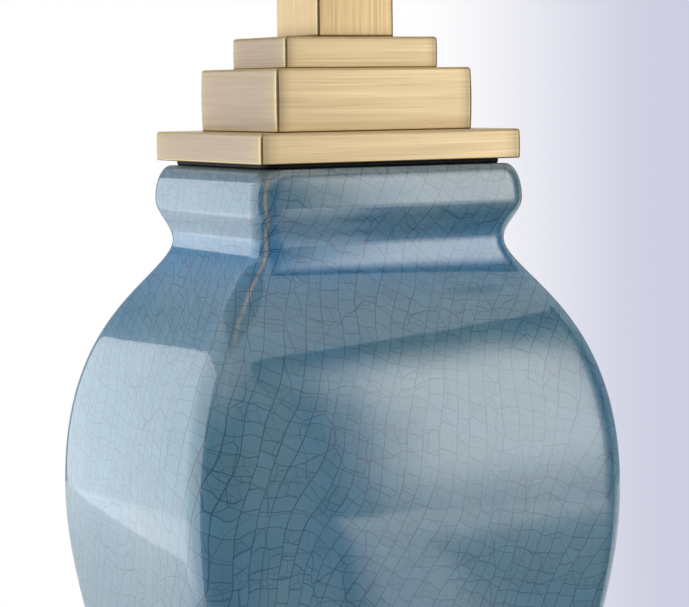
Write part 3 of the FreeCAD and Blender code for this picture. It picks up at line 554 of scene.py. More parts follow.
turns = np.linspace(0, math.pi / 2, 7)
taper = np.linspace(foot_drop - foot_round, belly_drop, 62)[1:]
shoulder = np.linspace(belly_drop, waist_drop, 52)[1:]
neck = np.linspace(waist_drop, collar_drop, 20)[1:]
roll_turn = np.linspace(math.pi / 2, math.radians(6), 20)[1:]
collar = collar_drop * (1 - np.cos(roll_turn))
drops = np.concatenate([foot_drop - foot_round * (1 - np.cos(turns)), taper, shoulder, neck, collar])
inward = np.concatenate([foot_round * (1 - np.sin(turns)), np.zeros(len(drops) - len(turns))])
jar_columns = outline_columns(np.linspace(-1, 1, 44, endpoint=False), 20)

width, depth, corner, crown = jar_section(drops)
outer_x, outer_y = crowned_outline(jar_columns, width - inward, depth - inward,
                                   corner - inward * 0.5, crown)
print("jar outside:", outer_x.shape[0], "levels of", outer_x.shape[1], "points")

# %% [markdown]
# The inside is one wall thickness in from the outside. It isn't seen once the lamp is together,
# so it has few levels, but it makes the jar a true shell: the surface runs over the rim, down
# the inside, across the floor and through the hole back to where it began.

# %% Inside of the jar, rim, floor and hole
inner_drops = np.concatenate([np.linspace(waist_drop, belly_drop, 12),
                              np.linspace(belly_drop, foot_drop - jar_floor, 14)[1:]])
width, depth, corner, crown = jar_section(inner_drops)
inner_x, inner_y = crowned_outline(jar_columns, width - jar_wall, depth - jar_wall,
                                   corner - jar_wall / 2, crown)
rim_halves = ([rim_half[way] - rim_flat, mouth_half[way] + rim_ease, mouth_half[way], mouth_half[way]]
              for way in (0, 1))
rim_x, rim_y = rounded_outline(jar_columns, *rim_halves, [8.0, 6.0, mouth_corner, mouth_corner])
hole_radii = [hole_radius + hole_ease, hole_radius, hole_radius, hole_radius + hole_ease]
hole_x, hole_y = circle_outline(jar_columns, hole_radii)
hole_z = np.array([jar_floor, jar_floor, 0, 0]) + jar_low[2]
rim_z = jar_high[2] - np.array([0, 0, rim_ease, mouth_depth])
under_x, under_y = crowned_outline(jar_columns, foot_half[0] - under_inset, foot_half[1] - under_inset,
                                   under_inset, collar_crown)
jar_x = np.concatenate([under_x, outer_x, rim_x, inner_x, hole_x])
jar_y = np.concatenate([under_y, outer_y, rim_y, inner_y, hole_y])
row_z = np.concatenate([[jar_low[2]], jar_high[2] - drops, rim_z, jar_high[2] - inner_drops, hole_z])
jar_points = raised(jar_x, jar_y, row_z)

# %% [markdown]
# The glaze follows the surface, so the jar also gets a flat map in millimetres: sideways is the
# distance round the outline from the middle of the front, and upwards the distance along the
# profile. Two more numbers ride on the points: glaze pools in the hollow of the waist, where it
# is bluer, and runs thin over the roll of the collar and the corners.

# %% Flat map and glaze thickness
front = int(np.argmin(jar_points[len(drops) // 2, :, 1]))
row_drop = jar_high[2] - row_z


def all_round(rows):
    """The same number all round each level."""
    return np.broadcast_to(column(rows), jar_x.shape)


kind, angle, share = jar_columns
toward_front = np.isin(np.round(np.degrees(angle)), (225, 405))
ridge_share = np.where(toward_front, 0.62, 0.38)
row_corner = jar_section(np.clip(row_drop, 0, foot_drop))[2]
from_ridge = (share - ridge_share) * column(row_corner) * math.pi / 2
glaze_values = {
    "pool": all_round(np.exp(-((row_drop - waist_drop - 6) / 12) ** 2)),
    "thin": all_round(np.interp(row_drop, [0, 6, 45, 75, 110], [0.5, 1.0, 1.0, 0.25, 0.0])),
    "ridge_mm": np.clip(np.where(kind == 1, from_ridge, 6.0), -6.0, 6.0),
    "rim": all_round(np.interp(row_drop, [0, 2, 7], [1.0, 0.8, 0.0]))}
jar = make_piece("jar", [(jar_points, True)], "stand", crackle_glaze, "ceramic_body",
                 uv=surface_map(jar_points, front), values=glaze_values)
print("jar triangles:", 2 * len(jar.data.polygons))

# %% [markdown]
# ## Brushed brass
# The mounts are folded from sheet brass, brushed along their length, toned brown and lacquered.
# Fine long streaks of noise, squeezed across the brushing, give the grain; they change the
# colour, the roughness and the height a little. Edges and corners carry a painted highlight, the
# seam under each tier is darkened with brown grime and painted shade, and the end faces with
# painted shade. A thin clear coat is the lacquer.

# %% Brass material
def brass_material(name, grain, top_grain, colour, dull, rough, wear_and_light_marks=True, end_face_shade=0.0):
    """Toned brass: long streaks one way on the walls and another way on level faces.

    The end faces are painted darker, as shade, by the share given last.
    """
    material, tree, surface, place = new_material(name)
    wall = noise(tree, place, grain, 3.0, 0.6)
    top = noise(tree, place, top_grain, 3.0, 0.6)
    facing = node(tree, "SeparateXYZ", {0: node(tree, "NewGeometry").outputs["Normal"]}).outputs
    level = spread(tree, calc(tree, "ABSOLUTE", facing[2]), 0.5, 0.9)
    grain_value = node(tree, "Mix", {0: level, 2: wall, 3: top}, data_type="FLOAT").outputs[0]
    hairline = noise(tree, place, tuple(3.2 * g for g in grain))
    haze = noise(tree, place, (0.03, 0.03, 0.06))
    shade = blend(tree, spread(tree, grain_value, 0.3, 0.7, 0.3, 1.0), dull, colour)
    shade = blend(tree, spread(tree, haze, 0.45, 0.75, 0.0, 0.35), shade, dull)
    if wear_and_light_marks:
        # Painted shade: faces that point along x are turned brown, so the ends look darker.
        shaded_ends = spread(tree, calc(tree, "ABSOLUTE", facing[0]), 0.8, 0.98, 0.0, end_face_shade)
        shade = blend(tree, shaded_ends, shade, tone(112, 98, 84))
        # Painted shade on the end faces, painted highlight on edges and corners, and grime with painted shade
        # in seams, corners and inside, each from a number on the points.
        for key, most, tint in (("end_shade_film", 0.3, tone(120, 112, 128)), ("edge_highlight", 0.6, tone(250, 226, 170)),
                                ("grime_and_shade", 0.9, tone(72, 48, 26))):
            shade = blend(tree, times(tree, painted(tree, key), most), shade, tint)
    roughness = spread(tree, grain_value, 0.3, 0.7, rough + 0.06, rough - 0.05)
    bump = relief(tree, hairline, 0.012, 0.3, relief(tree, grain_value, 0.018, 0.3))
    wire_up(tree, surface, Base_Color=shade, Metallic=1.0, Roughness=roughness, Normal=bump)
    wire_up(tree, surface, Coat_Weight=0.3, Coat_Roughness=0.22, Coat_IOR=1.45)
    return material


tier_brass = brass_material("brushed_brass", (0.014, 0.014, 1.7), (0.014, 1.7, 0.3),
                            tone(226, 203, 162), tone(213, 189, 148), 0.5, end_face_shade=0.42)
post_brass = brass_material("upright_brushed_brass", (1.7, 1.7, 0.014), (0.014, 1.7, 0.3),
                            tone(209, 183, 138), tone(196, 169, 124), 0.44)
bright_brass = brass_material("polished_brass", (0.3, 0.3, 0.5), (0.3, 0.3, 0.3),
                              tone(222, 186, 112), tone(196, 158, 88), 0.2, wear_and_light_marks=False)

# %% [markdown]
# ## Stepped tiers
# Each tier is a box with its bottom open, folded and soldered, so its corners are soft and its
# faces are not quite flat: they swell a little in the middle and roll off near the corners.
# One closed profile, carried round a rounded rectangle, gives wall, rounded top edge, top, hole
# for the pipe and inside in a single surface. Near the hole the rectangle turns into a circle.

# %% Profiles of the brass boxes
tier_sides = [-1, -0.985, -0.95, -0.88, -0.75, -0.5, -0.2, 0.2, 0.5, 0.75, 0.88, 0.95, 0.985]
tier_columns = outline_columns(tier_sides, 9)
pipe_hole, sheet_wall, edge_round = 5.15, 1.6, 1.5


def round_edge(height, steps):
    """Rows over a top edge: a quarter circle, with a painted highlight strongest at its middle."""
    turn = np.linspace(0, math.pi / 2, steps)
    inset, drop = edge_round * (1 - np.cos(turn)), edge_round * (1 - np.sin(turn))
    return [(i, height - d, 0, edge_highlight, 0) for i, d, edge_highlight in zip(inset, drop, np.sin(2 * turn) ** 2)]


def tier_profile(height, swell):
    """Rows of a tier as inset, height, share of circle, painted highlight, grime and painted shade: up the
    wall, over, and down inside.
    """
    up_wall = np.array([0.02, 0.06, 0.14, 0.3, 0.5, 0.7, 0.86, 0.96])
    wall_z = 0.7 + (height - 0.7 - edge_round) * up_wall
    wall_in = -swell * (1 - (2 * up_wall - 1) ** 2)
    under = height - sheet_wall
    # At the foot, grime and painted shade darken the seam, and a painted highlight runs along the outer edge;
    # the inside rows are darkened too.
    foot = [(sheet_wall, 0.3, 0, 0, 1), (sheet_wall - 0.4, 0, 0, 0, 1), (0.55, 0, 0, 0, 1),
            (0.15, 0.2, 0, 0.2, 0.9), (-0.05, 0.6, 0, 1, 0.1)]
    wall = [(inset, z, 0, 0, 0) for inset, z in zip(wall_in, wall_z)]
    top = [(edge_round + 0.5, height, 0, 0.1, 0), (edge_round + 6, height, 0, 0, 0),
           (0, height, 1.4, 0, 0), (0, height, 1, 0, 0)]
    inside = [(0, under, 1, 0, 1), (0, under, 1.4, 0, 1), (sheet_wall + 3, under, 0, 0, 1),
              (sheet_wall, under, 0, 0, 1), (sheet_wall, height / 2, 0, 0, 1)]
    return np.array(foot + wall + round_edge(height, 8) + top + inside, float)


def tube_profile(height, wall):
    """Rows of a square tube: outside up, over the end, inside down."""
    # The last number is grime and painted shade, strongest at both ends where the tube meets the lid and the
    # tier below.
    rows = [(wall, 0, 1), (0.2, 0, 1), (0, 0.3, 0.9), (0, 1.2, 0.2)]
    rows += [(0, height * share, 0) for share in (0.1, 0.3, 0.5, 0.7, 0.9)]
    rows += [(0, height - 1.2, 0.2), (0, height - 0.3, 0.8), (0.2, height, 1), (wall, height, 1)]
    return np.array([(inset, z, 0, 0, grime_and_shade) for inset, z, grime_and_shade in rows], float)


def lid_profile(height):
    """Rows of a plate with a round top edge and a hole for the pipe."""
    # The last two numbers are a painted highlight, on the round top edge, and grime with painted shade, on
    # the foot and underside.
    side = [(0.6, 0, 0, 0, 1), (0.1, 0.25, 0, 0.1, 0.6), (0, 0.8, 0, 0, 0.1), (0, 1.6, 0, 0, 0),
            (0, height - edge_round - 0.1, 0, 0, 0)]
    top = [(edge_round + 0.5, height, 0, 0, 0), (edge_round + 5, height, 0, 0, 0),
           (0, height, 1.4, 0, 0), (0, height, 1, 0, 0)]
    under = [(0, 0, 1, 0, 1), (0, 0, 1.4, 0, 1), (4, 0, 0, 0, 1)]
    return np.array(side + round_edge(height, 7) + top + under, float)


# %% [markdown]
# Each corner of a box gets a painted highlight on one side of its round, and a solder line with a
# painted dark reflection on the other; the face beside it gets painted shade. These are numbers on
# the points, not more shape, and the brass recipe reads them.

# %% Painted highlight, grime and shade at the corners, and the box itself
def at_corner(middle, width):
    """A soft band up each corner's round; its middle is a share of the way from the end face."""
    kind, angle, share = tier_columns
    toward = np.where(np.isin(np.round(np.degrees(angle)), (45, 225, 405)), share, 1 - share)
    return np.where(kind == 1, np.exp(-((toward - middle) / width) ** 2), 0)


def corner_solder_and_shade(amount):
    """The solder line and a painted dark reflection up each corner, toward the front or back face, and
    painted shade beside it.
    """
    kind, angle, share = tier_columns
    beside = np.where(kind == 0, np.clip((np.abs(share) - 0.9) / 0.1, 0, 1) ** 1.5, 0)
    beside = beside * (np.abs(np.round(np.sin(angle))) > 0)
    return np.maximum(amount * beside, at_corner(0.8, 0.12))


def end_face_shade(height, row_z):
    """Painted shade on the end faces, clear of their edges."""
    kind, angle, share = tier_columns
    on_end = (kind == 0) * np.abs(np.round(np.cos(angle))) * (1 - share**6)
    part_way = np.clip(row_z / height * 2 - 1, -1, 1)
    return column(1 - part_way**6) * on_end


def carry_round(node_name, profile, roll):
    """A profile of (inset, height, circle) rows carried round the solid's outline."""
    low, high = box_mm(node_name)
    half, centre = (high - low) / 2, (high + low) / 2
    inset, height, circle = profile[:, 0], profile[:, 1], profile[:, 2]
    corners = np.maximum(edge_round - inset, 0.25)
    fall = np.where(inset < sheet_wall, roll, 0.0)
    x, y = rounded_outline(tier_columns, half[0] - inset, half[1] - inset, corners, fall)
    round_x, round_y = circle_outline(tier_columns, pipe_hole * np.maximum(circle, 1))
    x = np.where(column(circle) > 0, round_x, x) + centre[0]
    y = np.where(column(circle) > 0, round_y, y) + centre[1]
    return raised(x, y, low[2] + height)


def make_box(name, node_name, profile, material, outside, roll, shade_beside_corner=None, end_shade_film=None):
    """A brass box in place of its plain solid, with painted highlight, grime and painted shade where outside
    says.
    """
    outside = column(outside)
    points = carry_round(node_name, profile, roll)
    edge_highlight = np.maximum(column(profile[:, 3]), outside * at_corner(0.35, 0.3))
    grime_and_shade = column(profile[:, 4]) + np.zeros(points.shape[:2])
    if shade_beside_corner is not None:
        grime_and_shade = np.maximum(grime_and_shade, outside * corner_solder_and_shade(shade_beside_corner))
    values = {"edge_highlight": edge_highlight, "grime_and_shade": grime_and_shade}
    if end_shade_film is not None:
        values["end_shade_film"] = outside * end_shade_film
    return make_piece(name, [(points, True)], "stand", material, node_name, values=values)


def box_height(node_name):
    """How tall a solid is."""
    low, high = box_mm(node_name)
    return high[2] - low[2]


def make_tier(name, node_name, swell):
    """One folded brass tier."""
    height = box_height(node_name)
    profile = tier_profile(height, swell)
    inset, row_z, circle = profile[:, 0], profile[:, 1], profile[:, 2]
    outside = (row_z > 0.5) & (circle == 0) & (inset < sheet_wall)
    return make_box(name, node_name, profile, tier_brass, outside, 0.15, 0.5, end_face_shade(height, row_z))


tiers = (("base_upper_tier", "base_step", 0.15), ("cap_lower_tier", "cap_plate", 0.12),
         ("cap_middle_tier", "cap_block", 0.4), ("cap_upper_tier", "cap_step", 0.12))
for piece_name, solid, swell in tiers:
    make_tier(piece_name, solid, swell)
print("tiers made")

# %% [markdown]
# ## Cutting holes
# Three pieces need holes that don't fit their grid: the plinth, for the cord's bushing, the felt,
# for the cover's screws, and the socket's shell, for the switch. A round cutter and a boolean
# take a hole out, once, and the result is kept as the piece's own mesh.

# %% Boolean cut
def round_rod(start, axis, radius, length):
    """Points of a rod: a circle at each end of a line."""
    axis = np.array(axis, float)
    side = np.array([1.0, 0, 0]) if abs(axis[0]) < 0.5 else np.array([0, 1.0, 0])
    first = np.cross(axis, side)
    first /= np.linalg.norm(first)
    second = np.cross(axis, first)
    turn = full_turn(48)
    circle = radius * (np.outer(np.cos(turn), first) + np.outer(np.sin(turn), second))
    ends = np.array(start, float) + np.array([[0.0], [length]]) * axis
    return ends[:, None, :] + circle[None]


def cut(piece, rods):
    """Takes rods out of a piece."""
    cutter = mesh_object("cutter", *join_grids([(rod, False) for rod in rods]))
    modifier = piece.modifiers.new("cut", "BOOLEAN")
    modifier.operation, modifier.solver, modifier.object = "DIFFERENCE", "EXACT", cutter
    bpy.context.view_layer.update()
    graph = bpy.context.evaluated_depsgraph_get()
    result = bpy.data.meshes.new_from_object(piece.evaluated_get(graph))
    piece.modifiers.clear()
    piece.data = result
    bpy.data.objects.remove(cutter)
    return piece


def middle_z(node_name):
    """The height of a solid's middle."""
    low, high = box_mm(node_name)
    return (low[2] + high[2]) / 2


# %% [markdown]
# The plinth is the lowest and widest tier. On the real lamp its hole is punched in the back
# before folding; here it is made like the others and drilled.

# %% Plinth
inlet_hole, inlet_reach = 5.25, 5
plinth = make_tier("base_lower_tier", "plinth", 0.2)
plinth_back = box_mm("plinth")[1][1]
inlet_start = (0, plinth_back - inlet_reach, middle_z("cord_inlet"))
cut(plinth, [round_rod(inlet_start, (0, 1, 0), inlet_hole, 2 * inlet_reach)])
print("plinth has", len(plinth.data.polygons), "faces")

# %% [markdown]
# ## Neck post and its lid
# The post is a square brass tube, brushed up and down. Its lid is a small plate with rounded
# edges, as wide as the tube and a little more, which takes the pull of the neck nut.

# %% Post and lid
post_profile = tube_profile(box_height("neck_post"), sheet_wall)
make_box("neck_tube", "neck_post", post_profile, post_brass, post_profile[:, 0] < 0.1, 0.08, 0.3)
lid_rows = lid_profile(box_height("post_lid"))
make_box("neck_lid", "post_lid", lid_rows, tier_brass, (lid_rows[:, 0] < 0.1) & (lid_rows[:, 2] == 0), 0.05)
print("post and lid made")

# %% [markdown]
# ## Plain working materials
# Rubber, felt, steel, moulded plastic and painted wire are seen close up only now and then, yet
# each has its own grain: rubber is slightly mottled, felt is a mat of short fibres, rolled
# steel has fine lines, and enamel on wire has a faint orange-peel.

# %% Working materials
def mottled_material(name, dark, light, rough, grain, height, **finish):
    """A colour between two tones by random grain, with a matching relief."""
    material, tree, surface, place = new_material(name)
    value = noise(tree, place, grain, 4.0, 0.65)
    speck = noise(tree, place, 1.0)
    shade = blend(tree, spread(tree, value, 0.3, 0.7), tone(*dark), tone(*light))
    roughness = spread(tree, speck, 0.3, 0.7, rough - 0.06, rough + 0.06)
    bump = relief(tree, value, height, 0.5)
    wire_up(tree, surface, Base_Color=shade, Roughness=roughness, Normal=bump, Coat_Roughness=0.1, **finish)
    return material


black_rubber = mottled_material("black_rubber", (16, 17, 18), (30, 31, 33), 0.62, 0.5, 0.04)
felt = mottled_material("dark_felt", (14, 17, 16), (44, 48, 46), 0.94, 1.6, 0.35, Sheen_Weight=0.35)
black_plastic = mottled_material("black_plastic", (14, 14, 15), (22, 22, 24), 0.3, 0.25, 0.01,
                                 Coat_Weight=0.4)
switch_brown = mottled_material("brown_moulding", (38, 26, 20), (58, 42, 33), 0.45, 0.4, 0.02)
fibre = mottled_material("fibre_sleeve", (150, 128, 96), (178, 156, 122), 0.85, (0.9, 0.9, 0.5), 0.08)
white_enamel = mottled_material("white_enamel", (226, 224, 216), (238, 236, 229), 0.35, 0.8, 0.02,
                                Coat_Weight=0.2)
steel = mottled_material("zinc_steel", (150, 152, 156), (188, 190, 194), 0.38, (0.05, 1.4, 0.05), 0.02,
                         Metallic=1.0)

# %% [markdown]
# ## Rubber gaskets
# A flat rubber frame sits under the jar's foot and another between its rim and the cap. Under
# the pull of the pipe the rubber bulges, so its outer edge is a half ellipse. A small closed
# profile carried round a rounded rectangle makes the frame.

# %% Gaskets
def half_oval(inset, height):
    """Rows of (inset, height) up half an oval that bulges outwards by inset."""
    return [(inset * (1 - math.cos(t)), height / 2 * (1 + math.sin(t)))
            for t in np.linspace(-math.pi / 2, math.pi / 2, 9)]


def carry_flat(node_name, rows, corner, shrink):
    """Rows of (inset, height) carried round a solid; its corners tighten by shrink for each inset."""
    low, high = box_mm(node_name)
    half, centre = (high - low) / 2, (high + low) / 2
    inset, height = np.array(rows, float).T
    corners = np.maximum(corner - inset * shrink, 0.5)
    x, y = rounded_outline(tier_columns, half[0] - inset, half[1] - inset, corners)
    return raised(x + centre[0], y + centre[1], low[2] + height)


def make_gasket(name, node_name, band):
    """A rubber frame: an oval-edged band carried round the outline."""
    outer = half_oval(0.7, box_height(node_name))
    inner = [(band - inset, height) for inset, height in outer[::-1]]
    points = carry_flat(node_name, outer + inner, 6.0, 1.0)
    return make_piece(name, [(points, True)], "stand", black_rubber, node_name)


make_gasket("foot_seal", "foot_gasket", 7.0)
make_gasket("rim_seal", "rim_gasket", 7.0)
print("gaskets", round(box_height("rim_gasket"), 2), "mm thick")

# %% [markdown]
# ## Felt pad
# The pad is cut from wool felt, so its edges are soft and its faces not quite level. It is a
# closed sheet with rounded edges and four holes over the heads of the cover's screws.

# %% Felt
felt_height = box_height("base_pad")
felt_rows = [(68.0, 0.05), (40.0, 0.05), (12.0, 0.0), (3.0, 0.0)] + half_oval(0.9, felt_height)
felt_rows += [(inset, felt_height) for inset in (3.0, 12.0, 40.0, 68.0)]
pad = make_piece("felt_pad", [(carry_flat("base_pad", felt_rows, 3.0, 0.3), False)], "stand", felt,
                 "base_pad")
screw_head, screw_hole = 2.8, 3.1
screw_x, screw_y = box_mm("cover_screws")[1][:2] - screw_head
screw_starts = [(sx * screw_x, sy * screw_y, -2) for sx in (-1, 1) for sy in (-1, 1)]
cut(pad, [round_rod(start, (0, 0, 1), screw_hole, 8) for start in screw_starts])
print("felt cut")

# %% [markdown]
# ## Linen
# The shade is covered with a plain-woven linen in off-white. Threads go over and under each
# other, and are thicker in some places than in others. Two sets of waves make the weave, and
# long soft noise along each direction makes the uneven yarn.

# %% Linen material
def linen_material(name, light, dark, pitch):
    """Plain weave on the piece's own flat map, with slubs along both sets of threads."""
    material, tree, surface, place = new_material(name)
    flat = node(tree, "UVMap", uv_map="surface_mm").outputs[0]
    split = node(tree, "SeparateXYZ", {0: shift(tree, "SCALE", flat, math.pi / pitch)}).outputs
    warp, weft = calc(tree, "SINE", split[0]), calc(tree, "SINE", split[1])
    weave = calc(tree, "ABSOLUTE", times(tree, warp, weft))
    lengthways = noise(tree, flat, (0.009, 1.3, 1.0), 2.0, 0.6)
    crossways = noise(tree, flat, (1.3, 0.009, 1.0), 2.0, 0.6)
    slub = calc(tree, "MAXIMUM", lengthways, crossways)
    cloud = noise(tree, place, 0.012)
    colour = light
    for value, low, high, at_low, at_high in ((slub, 0.45, 0.8, 0.0, 0.5), (weave, 0.0, 0.5, 0.45, 0.0),
                                              (cloud, 0.35, 0.65, 0.0, 0.2)):
        colour = blend(tree, spread(tree, value, low, high, at_low, at_high), colour, dark)
    bump = relief(tree, weave, 0.22, 0.6)
    bump = relief(tree, slub, 0.16, 0.4, bump)
    wire_up(tree, surface, Base_Color=colour, Roughness=0.88, Normal=bump, Specular_IOR_Level=0.2)
    wire_up(tree, surface, Sheen_Weight=0.25, Sheen_Roughness=0.5)
    return material


linen = linen_material("linen", tone(247, 242, 230), tone(214, 205, 186), 0.62)
hem_tape = linen_material("hem_tape", tone(236, 228, 211), tone(200, 189, 166), 0.5)
print("linen and hem tape made")

# %% [markdown]
# ## The shade
# The linen is glued to a stiff lining and bent round two wire frames, so it has four flat sides
# and round corners, wider at the bottom. It is one closed skin: outside up, over the top edge,
# inside down. Between the frames each side draws in by a little over a millimetre.

# %% Shade panel
shade_low, shade_high = box_mm("shade_panel")
shade_sides = [-1, -0.96, -0.85, -0.65, -0.4, -0.15, 0.15, 0.4, 0.65, 0.85, 0.96]
shade_columns = outline_columns(shade_sides, 12)
shade_taper, shade_corner, shade_skin, drawn_in = 25.0, 9.0, 1.2, 1.3
shade_height = shade_high[2] - shade_low[2]


def shade_surface(rows):
    """Points for rows of (height above the bottom edge, offset outwards).

    The taper is straight, and between the frames each side is drawn in along a parabola.
    """
    height, offset = np.array(rows, float).T
    share = height / shade_height
    half = (shade_high - shade_low) / 2
    half_width, half_depth = (half[way] - shade_taper * share + offset for way in (0, 1))
    draw = -drawn_in * 4 * share * (1 - share)
    x, y = rounded_outline(shade_columns, half_width, half_depth, shade_corner + offset, 0.0, draw)
    return raised(x, y, shade_low[2] + height)


levels = np.linspace(0.3, shade_height - 0.3, 26)
skin_rows = [(0, -0.6)] + [(z, 0.0) for z in levels]
skin_rows += [(shade_height, -0.6)] + [(z, -shade_skin) for z in levels[::-1]]
shade_points = shade_surface(skin_rows)
shade_cloth = make_piece("shade_cloth", [(shade_points, True)], "shade", linen, "shade_panel",
                         uv=surface_map(shade_points))


# %% [markdown]
# A strip of the same cloth is folded over each edge of the shade. The folded edges are round and
# stand a little proud.

# %% Hems
hem_width, proud = 9.0, 0.5
bottom_rows = [(0.1, -0.7), (0, -0.2), (0.1, 0.3), (0.5, proud), (2, proud), (hem_width - 2, proud),
               (hem_width - 0.6, proud), (hem_width, 0.3), (hem_width, 0.02), (hem_width / 2, 0.02)]
top_rows = [(-hem_width, 0.02), (-hem_width, 0.3), (0.6 - hem_width, proud), (-2, proud), (-0.5, proud),
            (-0.1, 0.3), (0, -0.2), (-0.1, -0.7), (-hem_width / 2, 0.02)]


def make_hem(name, node_name, rows):
    """A folded strip over an edge: out at the edge, flat on the face, and back underneath."""
    points = shade_surface(rows)
    return make_piece(name, [(points, True)], "shade", hem_tape, node_name,
                      uv=surface_map(points))


hem_bottom = make_hem("hem_bottom", "shade_trim_bottom", bottom_rows)
hem_top = make_hem("hem_top", "shade_trim_top", [(shade_height + z, offset) for z, offset in top_rows])
print("hems", hem_width, "mm wide")

# %% [markdown]
# ## Turned and drawn hardware
# The socket's shell and cap, the sleeves and the shade's hub are turned: a closed profile of
# radius and height goes round an upright axis. The harp and the shade's frame are wires: a small
# circle goes along a path whose corners are rounded with arcs.

# %% Turned pieces and wires
def rounded_path(corners, radii, steps, closed=False):
    """A path through corners, each replaced by an arc of its own radius, tangent to both sides."""
    corners, count = np.array(corners, float), len(corners)
    path = []
    for number, corner in enumerate(corners):
        if radii[number] == 0 or (not closed and number in (0, count - 1)):
            path.append(corner[None])
            continue
        back, ahead = corners[number - 1] - corner, corners[(number + 1) % count] - corner
        back, ahead = back / np.linalg.norm(back), ahead / np.linalg.norm(ahead)
        half = math.acos(float(np.dot(back, ahead))) / 2
        middle = corner + (back + ahead) / np.linalg.norm(back + ahead) * radii[number] / math.sin(half)
        first = corner + back * radii[number] / math.tan(half) - middle
        last = corner + ahead * radii[number] / math.tan(half) - middle
        sweep, share = math.pi - 2 * half, np.linspace(0, 1, steps)[:, None]
        arc = np.sin((1 - share) * sweep) * first + np.sin(share * sweep) * last
        path.append(middle + arc / math.sin(sweep))
    return np.concatenate(path)


def turned(profile, rounding, centre_x=0.0, steps=64):
    """A closed profile of (radius, height) corners, rounded, and carried round an upright axis."""
    rows = rounded_path(profile, [rounding] * len(profile), 4, closed=True)
    turn = full_turn(steps)
    x, y = centre_x + column(rows[:, 0]) * np.cos(turn), column(rows[:, 0]) * np.sin(turn)
    return raised(x, y, rows[:, 1])


def wire(path, radius, up, closed=False, steps=20):
    """A circle carried along a flat path; up is the direction square to the path's plane."""
    ahead = np.roll(path, -1, 0) - np.roll(path, 1, 0) if closed else np.gradient(path, axis=0)
    ahead /= np.linalg.norm(ahead, axis=1)[:, None]
    side = np.cross(ahead, up)
    turn = full_turn(steps)[None, :, None]
    return path[:, None] + radius * (np.cos(turn) * side[:, None] - np.sin(turn) * np.array(up, float))


def make_bright(name, points, solid, body="stand", closed=True):
    """One grid in bright brass."""
    return make_piece(name, [(points, closed)], body, bright_brass, solid)


# %% [markdown]
# The harp is one bent brass wire that springs apart to clip onto its saddle, and two sleeves
# slide down to lock it. The shade hangs from it on a frame: a wire ring at the bottom, and at the
# top a ring with four arms that meet in a small plate. All are wires along rounded paths.

# %% Harp, sleeves and the shade's frame
harp_low, harp_high = box_mm("harp")
saddle_x, harp_wire_radius = 26.0, 2.0
harp_top = harp_high[2] - harp_wire_radius
harp_right = [(saddle_x, harp_low[2]), (saddle_x, harp_low[2] + 40), (55, harp_low[2] + 93),
              (44, harp_low[2] + 171), (13, harp_top)]
harp_corners = [(x, 0, z) for x, z in harp_right] + [(-x, 0, z) for x, z in harp_right[::-1]]
harp_radii = [0, 60, 130, 45, 22, 22, 45, 130, 60, 0]
harp_path = rounded_path(harp_corners, harp_radii, 24)
make_bright("harp_wire", wire(harp_path, harp_wire_radius, (0, 1, 0)), "harp", closed=False)
for side, body, solid in ((-1, "left_harp_sleeve", "left_sleeve"), (1, "right_harp_sleeve", "right_sleeve")):
    low, high = box_mm(solid)
    profile = [(2.1, low[2]), (3.6, low[2]), (3.6, high[2]), (2.1, high[2])]
    make_bright(solid + "_tube", turned(profile, 0.5, side * saddle_x, 40), solid, body)


frame_wire, arm_wire, plate_radius, plate_hole = 1.3, 1.2, 12, 3.5


def frame_ring(solid, z):
    """A closed wire just inside the cloth, and how far it reaches each way."""
    high = box_mm(solid)[1]
    x, y = high[0] - frame_wire, high[1] - frame_wire
    path = rounded_path([(x, -y, z), (x, y, z), (-x, y, z), (-x, -y, z)], [6.3] * 4, 10, closed=True)
    return wire(path, frame_wire, (0, 0, 1), closed=True), x, y


def make_frame(name, grids, solid):
    """A frame of enamelled wire."""
    return make_piece(name, grids, "shade", white_enamel, solid)


bottom_low = box_mm("shade_bottom_ring")[0][2]
make_frame("bottom_frame", [(frame_ring("shade_bottom_ring", bottom_low + frame_wire)[0], True)],
           "shade_bottom_ring")
spider_low, spider_high = box_mm("shade_spider")
top_z = spider_high[2] - frame_wire
top_wire, reach_x, reach_y = frame_ring("shade_spider", top_z)
plate_low, plate_high = spider_low[2] + 0.4, spider_low[2] + 2.0
plate = [(plate_hole, plate_low), (plate_radius, plate_low), (plate_radius, plate_high),
         (plate_hole, plate_high)]
spider = [(top_wire, True), (turned(plate, 0.3), True)]
for x, y, reach in ((1, 0, reach_x), (-1, 0, reach_x), (0, 1, reach_y), (0, -1, reach_y)):
    arm_z = plate_low + 0.8
    arm = [(9.5 * x, 9.5 * y, arm_z), (24 * x, 24 * y, arm_z), (reach * x, reach * y, top_z)]
    spider.append((wire(rounded_path(arm, [0, 15, 0], 10), arm_wire, (-y, x, 0), steps=16), False))
make_frame("top_frame", spider, "shade_spider")

# %% [markdown]
# The socket's cap and shell are spun from thin brass, so each is a closed profile turned round.
# The bulb's sleeve is rolled into a thread, so its radius changes round the axis and up it. The
# finial repeats the cap's steps in small and screws down over the shade's frame.

